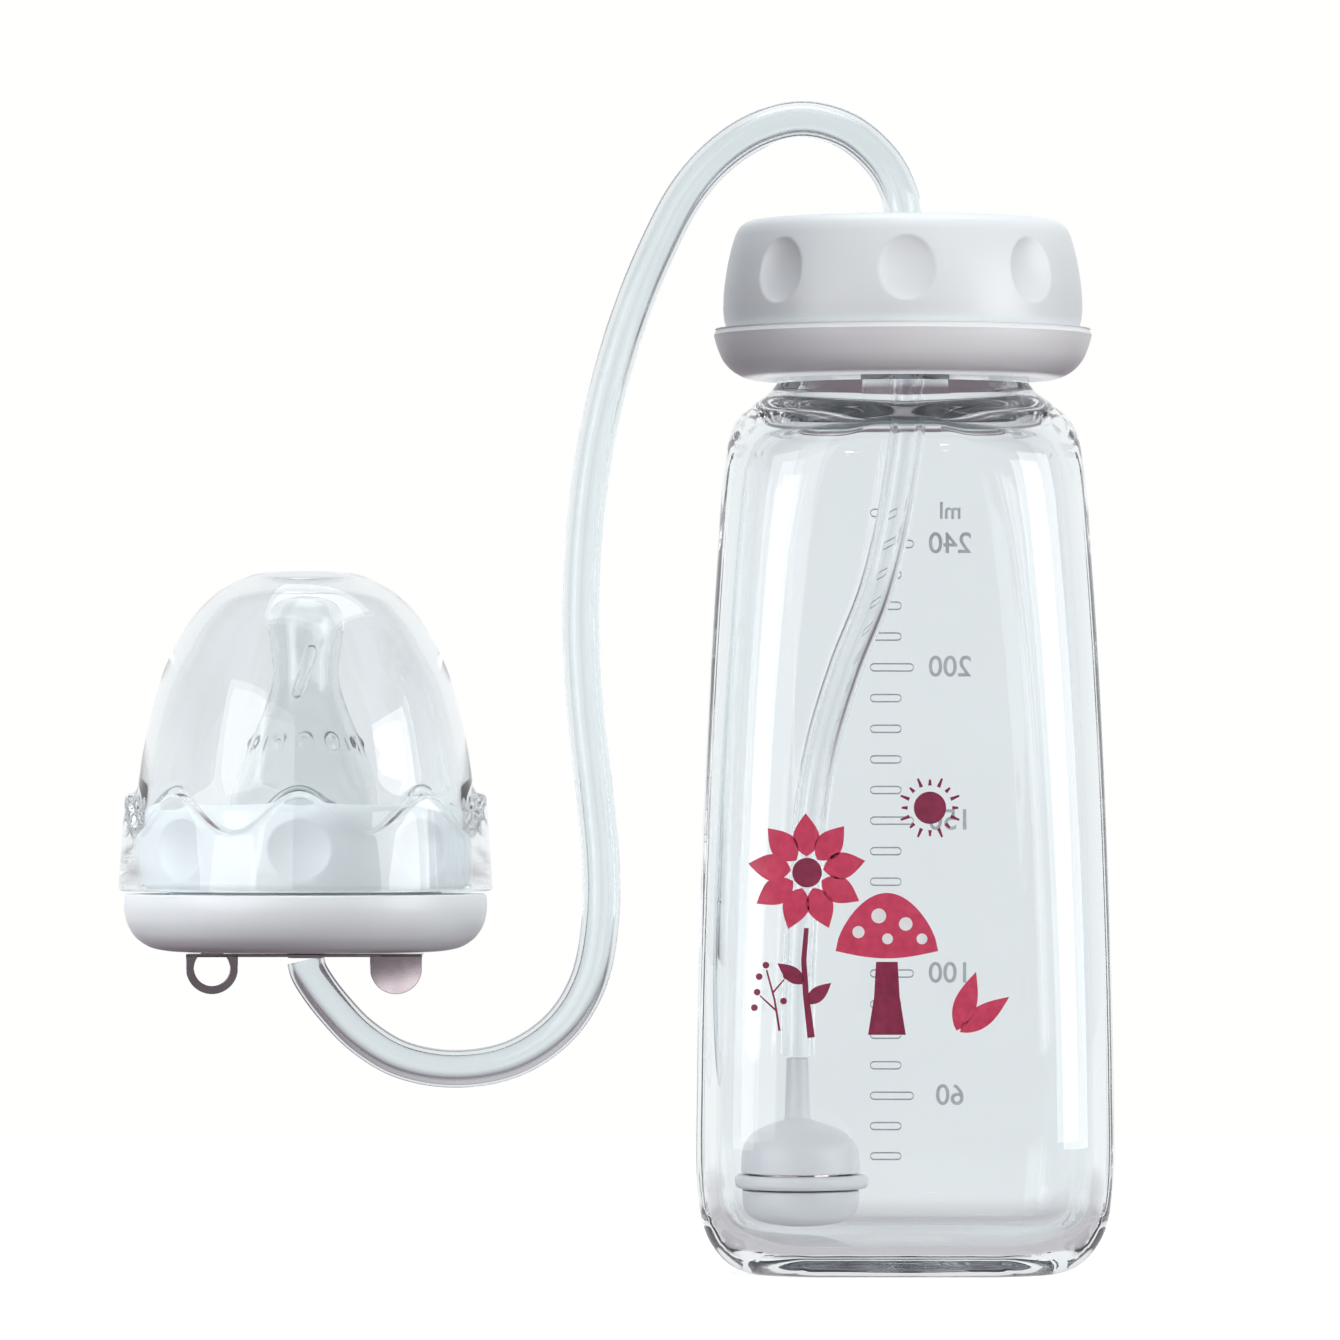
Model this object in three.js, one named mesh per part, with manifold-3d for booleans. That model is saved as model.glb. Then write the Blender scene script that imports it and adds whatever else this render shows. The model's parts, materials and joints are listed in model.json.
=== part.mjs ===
// Self-feeding baby bottle: bottle with screw lid, weighted straw, feed tube and capped teat unit.
// Millimetres, +Z up. The origin is the centre of the bottle's flat underside; the front faces -Y.
import * as THREE from 'three';
import { mergeVertices } from 'three/addons/utils/BufferGeometryUtils.js';
import Module from 'manifold-3d';

const wasm = await Module();
wasm.setup();

// ---------------------------------------------------------------- driving dimensions
const GAP = 0.3; // air left between pieces that touch
const BIG_SIDES = 30; // facets round the collars, cup and rings
const MID_SIDES = 24; // facets round the lid plug and the teat
const SMALL_SIDES = 16; // facets round the small fittings
const DOME_SIDES = 48; // facets round the dome cap, six for each wave
const BOTTLE_SIDES = 36;

// Bottle sections: height, half width (X), half depth (Y), corner radius.
const BOTTLE_OUTSIDE = [
  [0, 21.5, 16.6, 9.5], [0.35, 23.6, 18.7, 10.5], [1.6, 26.2, 21.2, 11.5], [3.8, 28.3, 23.2, 12.2],
  [6.8, 29.9, 24.8, 12.6], [12.5, 31.0, 25.9, 12.8], [30, 31.1, 26.0, 12.8], [64, 30.3, 25.5, 13.4],
  [94, 28.9, 24.9, 14.2], [109, 27.9, 24.5, 14.8], [118, 27.3, 24.2, 15.4], [124, 26.5, 23.9, 16.6],
  [127.4, 25.6, 23.5, 18.6], [129.6, 23.8, 22.9, 21.4], [131.2, 21.9, 21.6, 21.4], [132.6, 20.1, 20.1, 20.1],
];
const BOTTLE_INSIDE = [
  [130.2, 16.8, 16.8, 16.8], [129.0, 17.9, 17.7, 17.3], [127.6, 20.6, 19.9, 17.2], [125.6, 22.6, 20.9, 15.6],
  [122.5, 23.6, 21.3, 13.8], [117, 24.3, 21.4, 12.6], [94, 25.9, 21.9, 11.2], [64, 27.3, 22.5, 10.4],
  [30, 28.1, 23.0, 9.8], [13.5, 28.0, 22.9, 9.8], [8.6, 27.1, 22.0, 9.6], [5.6, 25.0, 20.0, 9.0], [4.3, 22.2, 17.2, 8.0], [4.0, 19.0, 14.0, 7.0],
];
const BOTTLE_FLOOR_Z = 4.0;
const NECK_BASE_Z = 133.8;
const NECK_TOP_Z = 152.0;
const NECK_R = 19.0;
const NECK_BORE_R = 16.6;

const NECK_THREAD = { root: 18.7, tip: 20.8, z: 143.6, pitch: 3.5, turns: 1.5 };
const COLLAR_THREAD = { root: 22.6, tip: 20.3, z: 145.35, pitch: 3.5, turns: 1.5 };
const THREAD_HALF_ROOT = 0.72; // half height of a thread ridge at its root
const THREAD_HALF_TIP = 0.4;
const THREAD_STEPS_PER_TURN = 16;

const COLLAR_BOTTOM_Z = 142.3;
const COLLAR_TOP_Z = 158.4;
const COLLAR_BORE_R = 21.9;
const COLLAR_HOLE_R = 13.8; // hole in the collar's top
const DIMPLE_COUNT = 8;
const COLLAR_DIMPLE = { r: 28.0, z: 150.1, half: [4.85, 2.3, 5.5] };
const TEAT_COLLAR_DIMPLE = { r: 25.9, z: 63.8, half: [5.0, 2.4, 5.0] };

const DRIP_RING_Z = 134.4;
const DRIP_RING_BORE_R = 21.2;

const PLUG_FLANGE_Z = 154.1;
const PLUG_FLANGE_R = 19.4;
const PLUG_TOP_Z = 157.0;
const SPIGOT_PIVOT_Z = 149.6; // centre of the round end that the straw swings on
const SPIGOT_BALL_R = 2.3;
const VENT_X = 8.6;

const TUBE_R = 2.85;
const TUBE_SIDES = 8;
const TUBE_STEPS = 60;
const STRAW_R = 2.65;
const STRAW_STEPS = 24;
const TUBE_START_Z = 158.5;
const TUBE_END_Z = 47.0;

const WEIGHT_X = -15.9;
const WEIGHT_SEAM_Z = 13.6;
const WEIGHT_STEM_TOP_Z = 32.3;

const TEAT_X = -90; // axis of the teat unit
const BASE_BOTTOM_Z = 48.3;
const BASE_RIM_Z = 57.0;
const BASE_POST_TOP_Z = 66.8;
const BASE_THREAD = { root: 20.2, tip: 21.3, z: 59.4, pitch: 3.0, turns: 1.5 };
const TEAT_COLLAR_THREAD = { root: 22.6, tip: 20.9, z: 60.9, pitch: 3.0, turns: 1.5 };
const TEAT_COLLAR_BOTTOM_Z = 57.6;
const TEAT_COLLAR_TOP_Z = 70.65;

const DOME_BOTTOM_Z = 57.45;
const WAVE_COUNT = 8;
const WAVE_MID_Z = 68.9;
const WAVE_HALF_HEIGHT = 2.9;

const PLATE_TOP_Z = 48.0;
const PLATE_T = 0.45;
const PLATE_HALF_LENGTH = 17.7;
const PLATE_HALF_DEPTH = 7;
const TAB_HALF_WIDTH = 3.9;
const TAB_BOTTOM_Z = 42.0;
const EYE_R = 2.7;

// Route of the feed tube: X and Z of points along it, from the lid to the teat unit, in the plane Y = 0.
const TUBE_ROUTE = [
  [0, TUBE_START_Z], [0, 160.2], [-0.8, 163.4], [-3.1, 167.5], [-8.2, 171.9], [-14.8, 173.7], [-21.4, 172.3],
  [-27.4, 168.5], [-32.5, 162.8], [-37.2, 153.9], [-40.9, 144.8], [-44.0, 134.8], [-46.4, 123.8],
  [-47.9, 111.8], [-48.5, 98.0], [-47.9, 85.5], [-46.6, 73.5], [-45.5, 61.8], [-45.6, 52.8],
  [-47.4, 43.8], [-51.6, 37.0], [-58.6, 32.2], [-67.3, 30.6], [-75.6, 32.0], [-81.6, 35.6],
  [-85.8, 39.9], [-88.4, 43.1], [TEAT_X, 46.2], [TEAT_X, TUBE_END_Z],
];
// Route of the straw, from under the lid plug to the weight's stem.
const STRAW_START_Z = SPIGOT_PIVOT_Z - SPIGOT_BALL_R - GAP;
const STRAW_ROUTE = [
  [0, STRAW_START_Z], [0, 144.5], [0.4, 137.5], [0.7, 129.0], [-0.8, 116.5], [-4.0, 102.8], [-8.6, 91.0],
  [-12.2, 79.0], [-14.3, 65.0], [-15.5, 50.0], [WEIGHT_X, 36.5],
  [WEIGHT_X, WEIGHT_STEM_TOP_Z + GAP],
];

// ---------------------------------------------------------------- materials
const clearGlass = () => surface(0xe4ebef, 0.05);
const clearPlastic = () => surface(0xe9eef2, 0.08);
const clearSilicone = () => surface(0xdfe6ea, 0.3);
const whitePlastic = () => surface(0xeceef0, 0.3);
const greyPlastic = () => surface(0xd9dde0, 0.4);
const steel = () => surface(0x8d8a8e, 0.15, 1);

function surface(color, roughness, metalness = 0) {
  return new THREE.MeshStandardMaterial({ color, roughness, metalness });
}

// ---------------------------------------------------------------- geometry helpers
// Welds a geometry into one closed surface with its faces pointing out.
function closed(geometry) {
  const bare = geometry.clone();
  for (const name of Object.keys(bare.attributes)) if (name !== 'position') bare.deleteAttribute(name);
  const welded = mergeVertices(bare, 1e-4);
  const faces = [];
  for (let i = 0; i < welded.index.count; i += 3) {
    const [a, b, c] = [0, 1, 2].map((k) => welded.index.getX(i + k));
    if (a !== b && b !== c && a !== c) faces.push([a, b, c]);
  }
  const corner = (i) => new THREE.Vector3().fromBufferAttribute(welded.attributes.position, i);
  const volume = faces.reduce((sum, [a, b, c]) => sum + corner(a).dot(corner(b).cross(corner(c))), 0);
  welded.setIndex(faces.flatMap(([a, b, c]) => (volume < 0 ? [a, c, b] : [a, b, c])));
  return welded;
}

function toManifold(geometry) {
  const { attributes, index } = closed(geometry);
  return new wasm.Manifold(new wasm.Mesh({
    numProp: 3,
    vertProperties: new Float32Array(attributes.position.array),
    triVerts: new Uint32Array(index.array),
  }));
}

function fromManifold(manifold) {
  const { vertProperties, triVerts } = manifold.getMesh();
  const geometry = new THREE.BufferGeometry();
  geometry.setAttribute('position', new THREE.BufferAttribute(new Float32Array(vertProperties), 3));
  geometry.setIndex(Array.from(triVerts));
  return geometry;
}

function join(geometry, ...others) {
  return fromManifold(others.reduce((sum, other) => sum.add(toManifold(other)), toManifold(geometry)));
}

function cut(geometry, ...tools) {
  return fromManifold(tools.reduce((rest, tool) => rest.subtract(toManifold(tool)), toManifold(geometry)));
}

// Turns a profile of [radius, height] points about a vertical axis at x. A profile that leaves the axis
// returns to it; one that stays off the axis is closed on itself.
function turned(profile, sides, x = 0) {
  const points = profile.map(([r, z]) => new THREE.Vector2(r, z));
  if (profile[0][0] > 0) points.push(points[0].clone());
  return closed(new THREE.LatheGeometry(points, sides).rotateX(Math.PI / 2).translate(x, 0, 0));
}

// Skins a stack of rings of equal point count, each end drawn together to a point on the ring's centre.
function skinned(rings, first, last) {
  const count = rings[0].length;
  const vertices = [first, ...rings.flat(), last];
  const at = (ring, k) => 1 + ring * count + (k % count);
  const end = vertices.length - 1;
  const index = [];
  for (let k = 0; k < count; k++) {
    index.push(0, at(0, k + 1), at(0, k), end, at(rings.length - 1, k), at(rings.length - 1, k + 1));
    for (let ring = 0; ring + 1 < rings.length; ring++) {
      index.push(at(ring, k), at(ring, k + 1), at(ring + 1, k + 1));
      index.push(at(ring, k), at(ring + 1, k + 1), at(ring + 1, k));
    }
  }
  const geometry = new THREE.BufferGeometry().setFromPoints(vertices);
  geometry.setIndex(index);
  return closed(geometry);
}

function ringOf(sides, pointAt) {
  return Array.from({ length: sides }, (_, k) => pointAt((2 * Math.PI * k) / sides));
}

// A helical ridge of trapezoid section, right-handed, that a wall at its root swallows.
function threadRidge({ root, tip, z, pitch, turns }, x = 0) {
  const steps = Math.round(turns * THREAD_STEPS_PER_TURN);
  const section = [
    [root, -THREAD_HALF_ROOT], [tip, -THREAD_HALF_TIP], [tip, THREAD_HALF_TIP], [root, THREAD_HALF_ROOT],
  ];
  const rings = Array.from({ length: steps + 1 }, (_, i) => {
    const angle = (2 * Math.PI * turns * i) / steps;
    const rise = z + pitch * turns * (i / steps);
    return section.map(([r, dz]) => new THREE.Vector3(x + r * Math.cos(angle), r * Math.sin(angle), rise + dz));
  });
  const middle = (ring) => ring.reduce((sum, p) => sum.add(p), new THREE.Vector3()).divideScalar(ring.length);
  return skinned(rings, middle(rings[0]), middle(rings.at(-1)));
}

// Finger dimples: a ring of flattened balls, the first one at the front.
function dimples({ r, z, half }, x = 0) {
  return Array.from({ length: DIMPLE_COUNT }, (_, k) => new THREE.SphereGeometry(1, 12, 8)
    .scale(...half)
    .translate(0, -r, 0)
    .rotateZ((2 * Math.PI * k) / DIMPLE_COUNT)
    .translate(x, 0, z));
}

function tubeAlong(route, radius, steps) {
  const points = route.map(([x, z]) => new THREE.Vector3(x, 0, z));
  const path = new THREE.CatmullRomCurve3(points, false, 'centripetal');
  const section = new THREE.Shape(ringOf(TUBE_SIDES, (a) => (
    new THREE.Vector2(radius * Math.cos(a), radius * Math.sin(a)))));
  return closed(new THREE.ExtrudeGeometry(section, { steps, extrudePath: path, curveSegments: 1 }));
}

function rod(radius, bottom, top, x = 0, y = 0, sides = SMALL_SIDES) {
  return new THREE.CylinderGeometry(radius, radius, top - bottom, sides)
    .rotateX(Math.PI / 2).translate(x, y, (top + bottom) / 2);
}

// ---------------------------------------------------------------- bottle
// Distance from the centre to the outline of a rounded rectangle, in the direction of an angle.
function roundedReach(halfWidth, halfDepth, corner, angle) {
  const [c, s] = [Math.abs(Math.cos(angle)), Math.abs(Math.sin(angle))];
  if (halfWidth * s <= (halfDepth - corner) * c) return halfWidth / c;
  if (halfDepth * c <= (halfWidth - corner) * s) return halfDepth / s;
  const [cx, cy] = [halfWidth - corner, halfDepth - corner];
  const along = cx * c + cy * s;
  return along + Math.sqrt(along * along - cx * cx - cy * cy + corner * corner);
}

function bottleRing([z, halfWidth, halfDepth, corner]) {
  return ringOf(BOTTLE_SIDES, (angle) => {
    const reach = roundedReach(halfWidth, halfDepth, corner, angle);
    return new THREE.Vector3(reach * Math.cos(angle), reach * Math.sin(angle), z);
  });
}

function bottleBody() {
  const neck = (r, z) => bottleRing([z, r, r, r]);
  const rings = [
    ...BOTTLE_OUTSIDE.map(bottleRing),
    neck(NECK_R, NECK_BASE_Z), neck(NECK_R, NECK_TOP_Z), neck(NECK_BORE_R, NECK_TOP_Z),
    ...BOTTLE_INSIDE.map(bottleRing),
  ];
  const shell = skinned(rings, new THREE.Vector3(0, 0, 0), new THREE.Vector3(0, 0, BOTTLE_FLOOR_Z));
  return join(shell, threadRidge(NECK_THREAD));
}

// ---------------------------------------------------------------- collar, ring and lid
function bottleCollar() {
  const wall = turned([
    [26.3, COLLAR_BOTTOM_Z], [26.9, 143.2], [27.1, 144.9], [27.0, 147.8], [26.6, 150.8], [26.0, 153.8],
    [25.2, 156.4], [24.5, 157.6], [23.4, COLLAR_TOP_Z], [COLLAR_HOLE_R, COLLAR_TOP_Z],
    [COLLAR_HOLE_R, 156.4], [COLLAR_BORE_R, 156.4], [COLLAR_BORE_R, COLLAR_BOTTOM_Z + 0.6],
    [23.5, COLLAR_BOTTOM_Z + 0.6], [23.6, 154.4], [23.9, 154.4], [24.5, COLLAR_BOTTOM_Z],
  ], BIG_SIDES);
  return cut(join(wall, threadRidge(COLLAR_THREAD)), ...dimples(COLLAR_DIMPLE));
}

function dripRing() {
  return turned([
    [DRIP_RING_BORE_R, DRIP_RING_Z], [23.2, 134.6], [25.4, 135.6], [27.0, 137.2], [28.0, 139.4],
    [28.6, 141.7], [28.2, 142.1], [27.6, 142.0], [24.2, 142.0], [24.2, 140.6], [26.3, 140.4], [25.2, 138.0],
    [23.6, 136.8], [DRIP_RING_BORE_R, 136.4],
  ], BIG_SIDES);
}

// Disc, rim that centres it in the neck, and a hanging spigot with a round end for the straw.
function lidPlug() {
  const ball = [15, 40, 65].map((degrees) => {
    const angle = THREE.MathUtils.degToRad(degrees);
    return [SPIGOT_BALL_R * Math.cos(angle), SPIGOT_PIVOT_Z - SPIGOT_BALL_R * Math.sin(angle)];
  });
  const disc = turned([
    [1.0, PLUG_TOP_Z - 5], [2.8, PLUG_TOP_Z - 5], [2.8, PLUG_TOP_Z], [13.2, PLUG_TOP_Z],
    [13.4, 155.7], [PLUG_FLANGE_R, 155.7], [PLUG_FLANGE_R, PLUG_FLANGE_Z], [16.2, PLUG_FLANGE_Z],
    [15.9, 149.8], [14.5, 149.8], [14.2, 154.2], [4.4, 154.2], [4.2, 151.3], [2.5, 150.5],
    [SPIGOT_BALL_R, SPIGOT_PIVOT_Z],
    ...ball, [1.0, SPIGOT_PIVOT_Z - 2.07],
  ], MID_SIDES);
  return cut(disc, rod(2.1, 150, 160, VENT_X));
}

function lidGasket() {
  const [bottom, top] = [NECK_TOP_Z + GAP, PLUG_FLANGE_Z - GAP];
  return turned([[16.8, bottom], [19.2, bottom], [19.2, top], [16.8, top]], MID_SIDES);
}

// Mushroom valve pulled through a hole in the lid plug.
function ventValve() {
  return turned([
    [0, 150.9], [0.9, 151.2], [2.0, 152.6], [2.7, 153.3], [1.75, 153.5], [1.75, 157.3], [3.1, 157.3],
    [3.1, 157.8], [1.2, 158.2], [0, 158.2],
  ], SMALL_SIDES, VENT_X);
}

// Fitting that turns in the lid plug and carries the feed tube.
function swivelSpigot() {
  return turned([
    [1.3, 152.4], [2.4, 152.4], [2.4, PLUG_TOP_Z + GAP], [4.6, PLUG_TOP_Z + GAP], [4.6, 157.9],
    [3.2, TUBE_START_Z - GAP], [1.3, TUBE_START_Z - GAP],
  ], SMALL_SIDES);
}

// ---------------------------------------------------------------- straw weight
function weightUpperShell() {
  return turned([
    [1.0, WEIGHT_STEM_TOP_Z], [1.6, WEIGHT_STEM_TOP_Z], [1.9, 22.6], [4.2, 22.2], [6.6, 21.4], [8.4, 19.8],
    [9.3, 17.6], [9.4, 14.9], [8.0, 14.9], [7.9, 17.3], [7.1, 19.0], [5.6, 20.1], [1.0, 20.5],
  ], SMALL_SIDES + 4, WEIGHT_X);
}

// Lower half, with a ring of inlet holes in its floor.
function weightLowerShell() {
  const cup = turned([
    [0, 5.5], [3.6, 5.6], [6.4, 6.4], [8.3, 8.0], [9.2, 10.2], [9.3, 12.3], [7.9, 12.3], [7.8, 10.6],
    [7.0, 8.7], [5.4, 7.6], [3.2, 7.1], [0, 7.1],
  ], SMALL_SIDES + 4, WEIGHT_X);
  const inlets = [0, 1, 2, 3].map((k) => {
    const angle = (Math.PI / 2) * k;
    return rod(0.8, 5, 8, WEIGHT_X + 3.6 * Math.cos(angle), 3.6 * Math.sin(angle), 8);
  });
  return cut(cup, ...inlets);
}

function weightSeamRing() {
  const half = 1.0;
  return turned([
    [8.2, WEIGHT_SEAM_Z - half], [10.1, WEIGHT_SEAM_Z - half], [10.7, WEIGHT_SEAM_Z - 0.5],
    [10.7, WEIGHT_SEAM_Z + 0.5], [10.1, WEIGHT_SEAM_Z + half], [8.2, WEIGHT_SEAM_Z + half],
  ], SMALL_SIDES + 4, WEIGHT_X);
}

function weightCore() {
  return turned([
    [1.8, 8.6], [4.6, 8.6], [6.4, 10.2], [6.6, 13.6], [6.4, 17.0], [4.6, 18.8], [1.8, 18.8],
  ], SMALL_SIDES, WEIGHT_X);
}

// ---------------------------------------------------------------- teat unit
// Cup with a threaded post in it and a small tower over the hose fitting.
function teatBase() {
  const cup = turned([
    [3.2, BASE_BOTTOM_Z], [20.6, BASE_BOTTOM_Z], [23.3, 49.0], [25.5, 50.6], [26.8, 52.6], [27.4, 55.0],
    [27.2, BASE_RIM_Z], [25.5, BASE_RIM_Z], [25.2, 53.6], [23.8, 51.4], [21.4, 50.4], [20.5, 51.0],
    [20.5, BASE_POST_TOP_Z], [18.3, BASE_POST_TOP_Z], [18.3, 52.0], [17.0, 50.4], [5.4, 50.4],
    [5.4, 55.6], [3.2, 55.6],
  ], BIG_SIDES, TEAT_X);
  return join(cup, threadRidge(BASE_THREAD, TEAT_X));
}

function teatCollar() {
  const wall = turned([
    [24.0, TEAT_COLLAR_BOTTOM_Z], [24.5, 58.4], [24.7, 60.4], [24.7, 67.4], [24.2, 69.2], [23.0, 70.3],
    [21.8, TEAT_COLLAR_TOP_Z], [14.6, TEAT_COLLAR_TOP_Z], [14.6, 69.0], [21.9, 69.0],
    [21.9, TEAT_COLLAR_BOTTOM_Z],
  ], BIG_SIDES, TEAT_X);
  return cut(join(wall, threadRidge(TEAT_COLLAR_THREAD, TEAT_X)), ...dimples(TEAT_COLLAR_DIMPLE, TEAT_X));
}

function teat() {
  return turned([
    [0, 102.15], [1.9, 101.8], [3.8, 101.0], [5.2, 99.7], [5.67, 98.2], [5.6, 96.4], [5.2, 93.6],
    [4.95, 90.9], [5.2, 88.2], [5.9, 85.8], [7.4, 82.0], [9.3, 77.8], [11.4, 73.0], [12.8, 69.9],
    [13.4, 68.7], [19.8, 68.7], [19.8, 67.1], [11.9, 67.1], [11.3, 69.9], [9.9, 73.0], [7.9, 77.4],
    [6.1, 81.6], [4.7, 85.4], [4.0, 88.2], [3.8, 90.9], [4.0, 93.6], [4.4, 96.4], [4.3, 98.2],
    [3.6, 99.6], [2.2, 100.6], [0, 100.9],
  ], MID_SIDES, TEAT_X);
}

// Clear cap: an outer skirt with a wavy top edge steps in to a tall dome.
function domeCap() {
  const wave = (angle) => WAVE_MID_Z + WAVE_HALF_HEIGHT * Math.cos(WAVE_COUNT * (angle + Math.PI / 2));
  const level = (r, z) => ringOf(DOME_SIDES, (a) => new THREE.Vector3(TEAT_X + r * Math.cos(a), r * Math.sin(a), z));
  const waved = (r, dz) => ringOf(DOME_SIDES, (a) => (
    new THREE.Vector3(TEAT_X + r * Math.cos(a), r * Math.sin(a), wave(a) + dz)));
  const outside = [
    level(4.0, 105.6), level(7.4, 105.3), level(12.9, 102.7), level(16.2, 99.7), level(18.8, 96.4),
    level(21.4, 90.6), level(23.2, 84.4), level(24.5, 78.4), level(25.2, 74.0),
    waved(25.7, 0.3), waved(26.6, 0.2), waved(27.2, -0.4),
  ];
  const inside = [
    level(28.2, DOME_BOTTOM_Z), level(25.2, DOME_BOTTOM_Z), level(25.1, 69.2), level(24.0, 72.0),
    level(22.8, 78.0), level(21.5, 84.0), level(19.8, 90.0), level(17.3, 95.6), level(14.9, 98.8),
    level(11.9, 101.5), level(6.6, 103.6),
  ];
  return skinned([...outside, ...inside], new THREE.Vector3(TEAT_X, 0, 105.6), new THREE.Vector3(TEAT_X, 0, 103.8));
}

// One-way valve: a soft cap over the tower, drawn in to a closed beak.
function teatValve() {
  return turned([
    [0, 61.6], [0.7, 61.6], [1.6, 58.4], [4.2, 57.2], [6.6, 57.0], [6.6, 51.4], [5.7, 51.4], [5.7, 55.9],
    [3.0, 55.9], [0.9, 57.6], [0.3, 60.6], [0, 60.6],
  ], SMALL_SIDES, TEAT_X);
}

// Hollow fitting through the cup's floor and the plate.
function hoseBarb() {
  return turned([
    [1.3, TUBE_END_Z + GAP], [2.7, TUBE_END_Z + GAP], [2.9, 55.3], [1.3, 55.3],
  ], SMALL_SIDES, TEAT_X);
}

// Flat plate with two tabs bent down from its front edge: one with an eye, one plain with a round end.
function hangerPlate() {
  const bottom = PLATE_TOP_Z - PLATE_T;
  const sheet = new THREE.BoxGeometry(2 * PLATE_HALF_LENGTH, 2 * PLATE_HALF_DEPTH, PLATE_T)
    .translate(TEAT_X, 0, PLATE_TOP_Z - PLATE_T / 2);
  const tab = (x) => {
    const outline = new THREE.Shape();
    const centre = TAB_BOTTOM_Z + TAB_HALF_WIDTH;
    outline.moveTo(x + TAB_HALF_WIDTH, bottom + PLATE_T / 2);
    outline.lineTo(x - TAB_HALF_WIDTH, bottom + PLATE_T / 2);
    outline.absarc(x, centre, TAB_HALF_WIDTH, Math.PI, 2 * Math.PI, false);
    return new THREE.ExtrudeGeometry(outline, { depth: PLATE_T, bevelEnabled: false, curveSegments: 16 })
      .rotateX(Math.PI / 2).translate(0, -PLATE_HALF_DEPTH + PLATE_T, 0);
  };
  const eyeX = TEAT_X - PLATE_HALF_LENGTH + TAB_HALF_WIDTH;
  const tongueX = TEAT_X + PLATE_HALF_LENGTH - TAB_HALF_WIDTH;
  const eye = new THREE.CylinderGeometry(EYE_R, EYE_R, 4 * PLATE_T, SMALL_SIDES)
    .translate(eyeX, -PLATE_HALF_DEPTH, TAB_BOTTOM_Z + TAB_HALF_WIDTH);
  return cut(join(sheet, tab(eyeX), tab(tongueX)), eye, rod(3.2, bottom - 1, PLATE_TOP_Z + 1, TEAT_X));
}

// ---------------------------------------------------------------- assembly
const group = new THREE.Group();
group.name = 'self_feeding_bottle';

function add(name, geometry, material) {
  const mesh = new THREE.Mesh(geometry, material);
  mesh.name = name;
  group.add(mesh);
}

add('bottle_body', bottleBody(), clearGlass());
add('bottle_collar', bottleCollar(), whitePlastic());
add('drip_ring', dripRing(), whitePlastic());
add('lid_plug', lidPlug(), whitePlastic());
add('lid_gasket', lidGasket(), clearSilicone());
add('vent_valve', ventValve(), clearSilicone());
add('swivel_spigot', swivelSpigot(), greyPlastic());
add('feed_tube', tubeAlong(TUBE_ROUTE, TUBE_R, TUBE_STEPS), clearSilicone());
add('inner_straw', tubeAlong(STRAW_ROUTE, STRAW_R, STRAW_STEPS), clearSilicone());
add('weight_upper_shell', weightUpperShell(), greyPlastic());
add('weight_lower_shell', weightLowerShell(), greyPlastic());
add('weight_seam_ring', weightSeamRing(), greyPlastic());
add('weight_core', weightCore(), steel());
add('teat_base', teatBase(), whitePlastic());
add('teat_collar', teatCollar(), whitePlastic());
add('teat', teat(), clearSilicone());
add('teat_valve', teatValve(), clearSilicone());
add('hose_barb', hoseBarb(), greyPlastic());
add('hanger_plate', hangerPlate(), steel());
add('dome_cap', domeCap(), clearPlastic());

export default group;
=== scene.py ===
"""Self-feeding baby bottle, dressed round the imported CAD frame. Metres, +Z up, the front faces -Y."""

import json
import math

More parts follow.
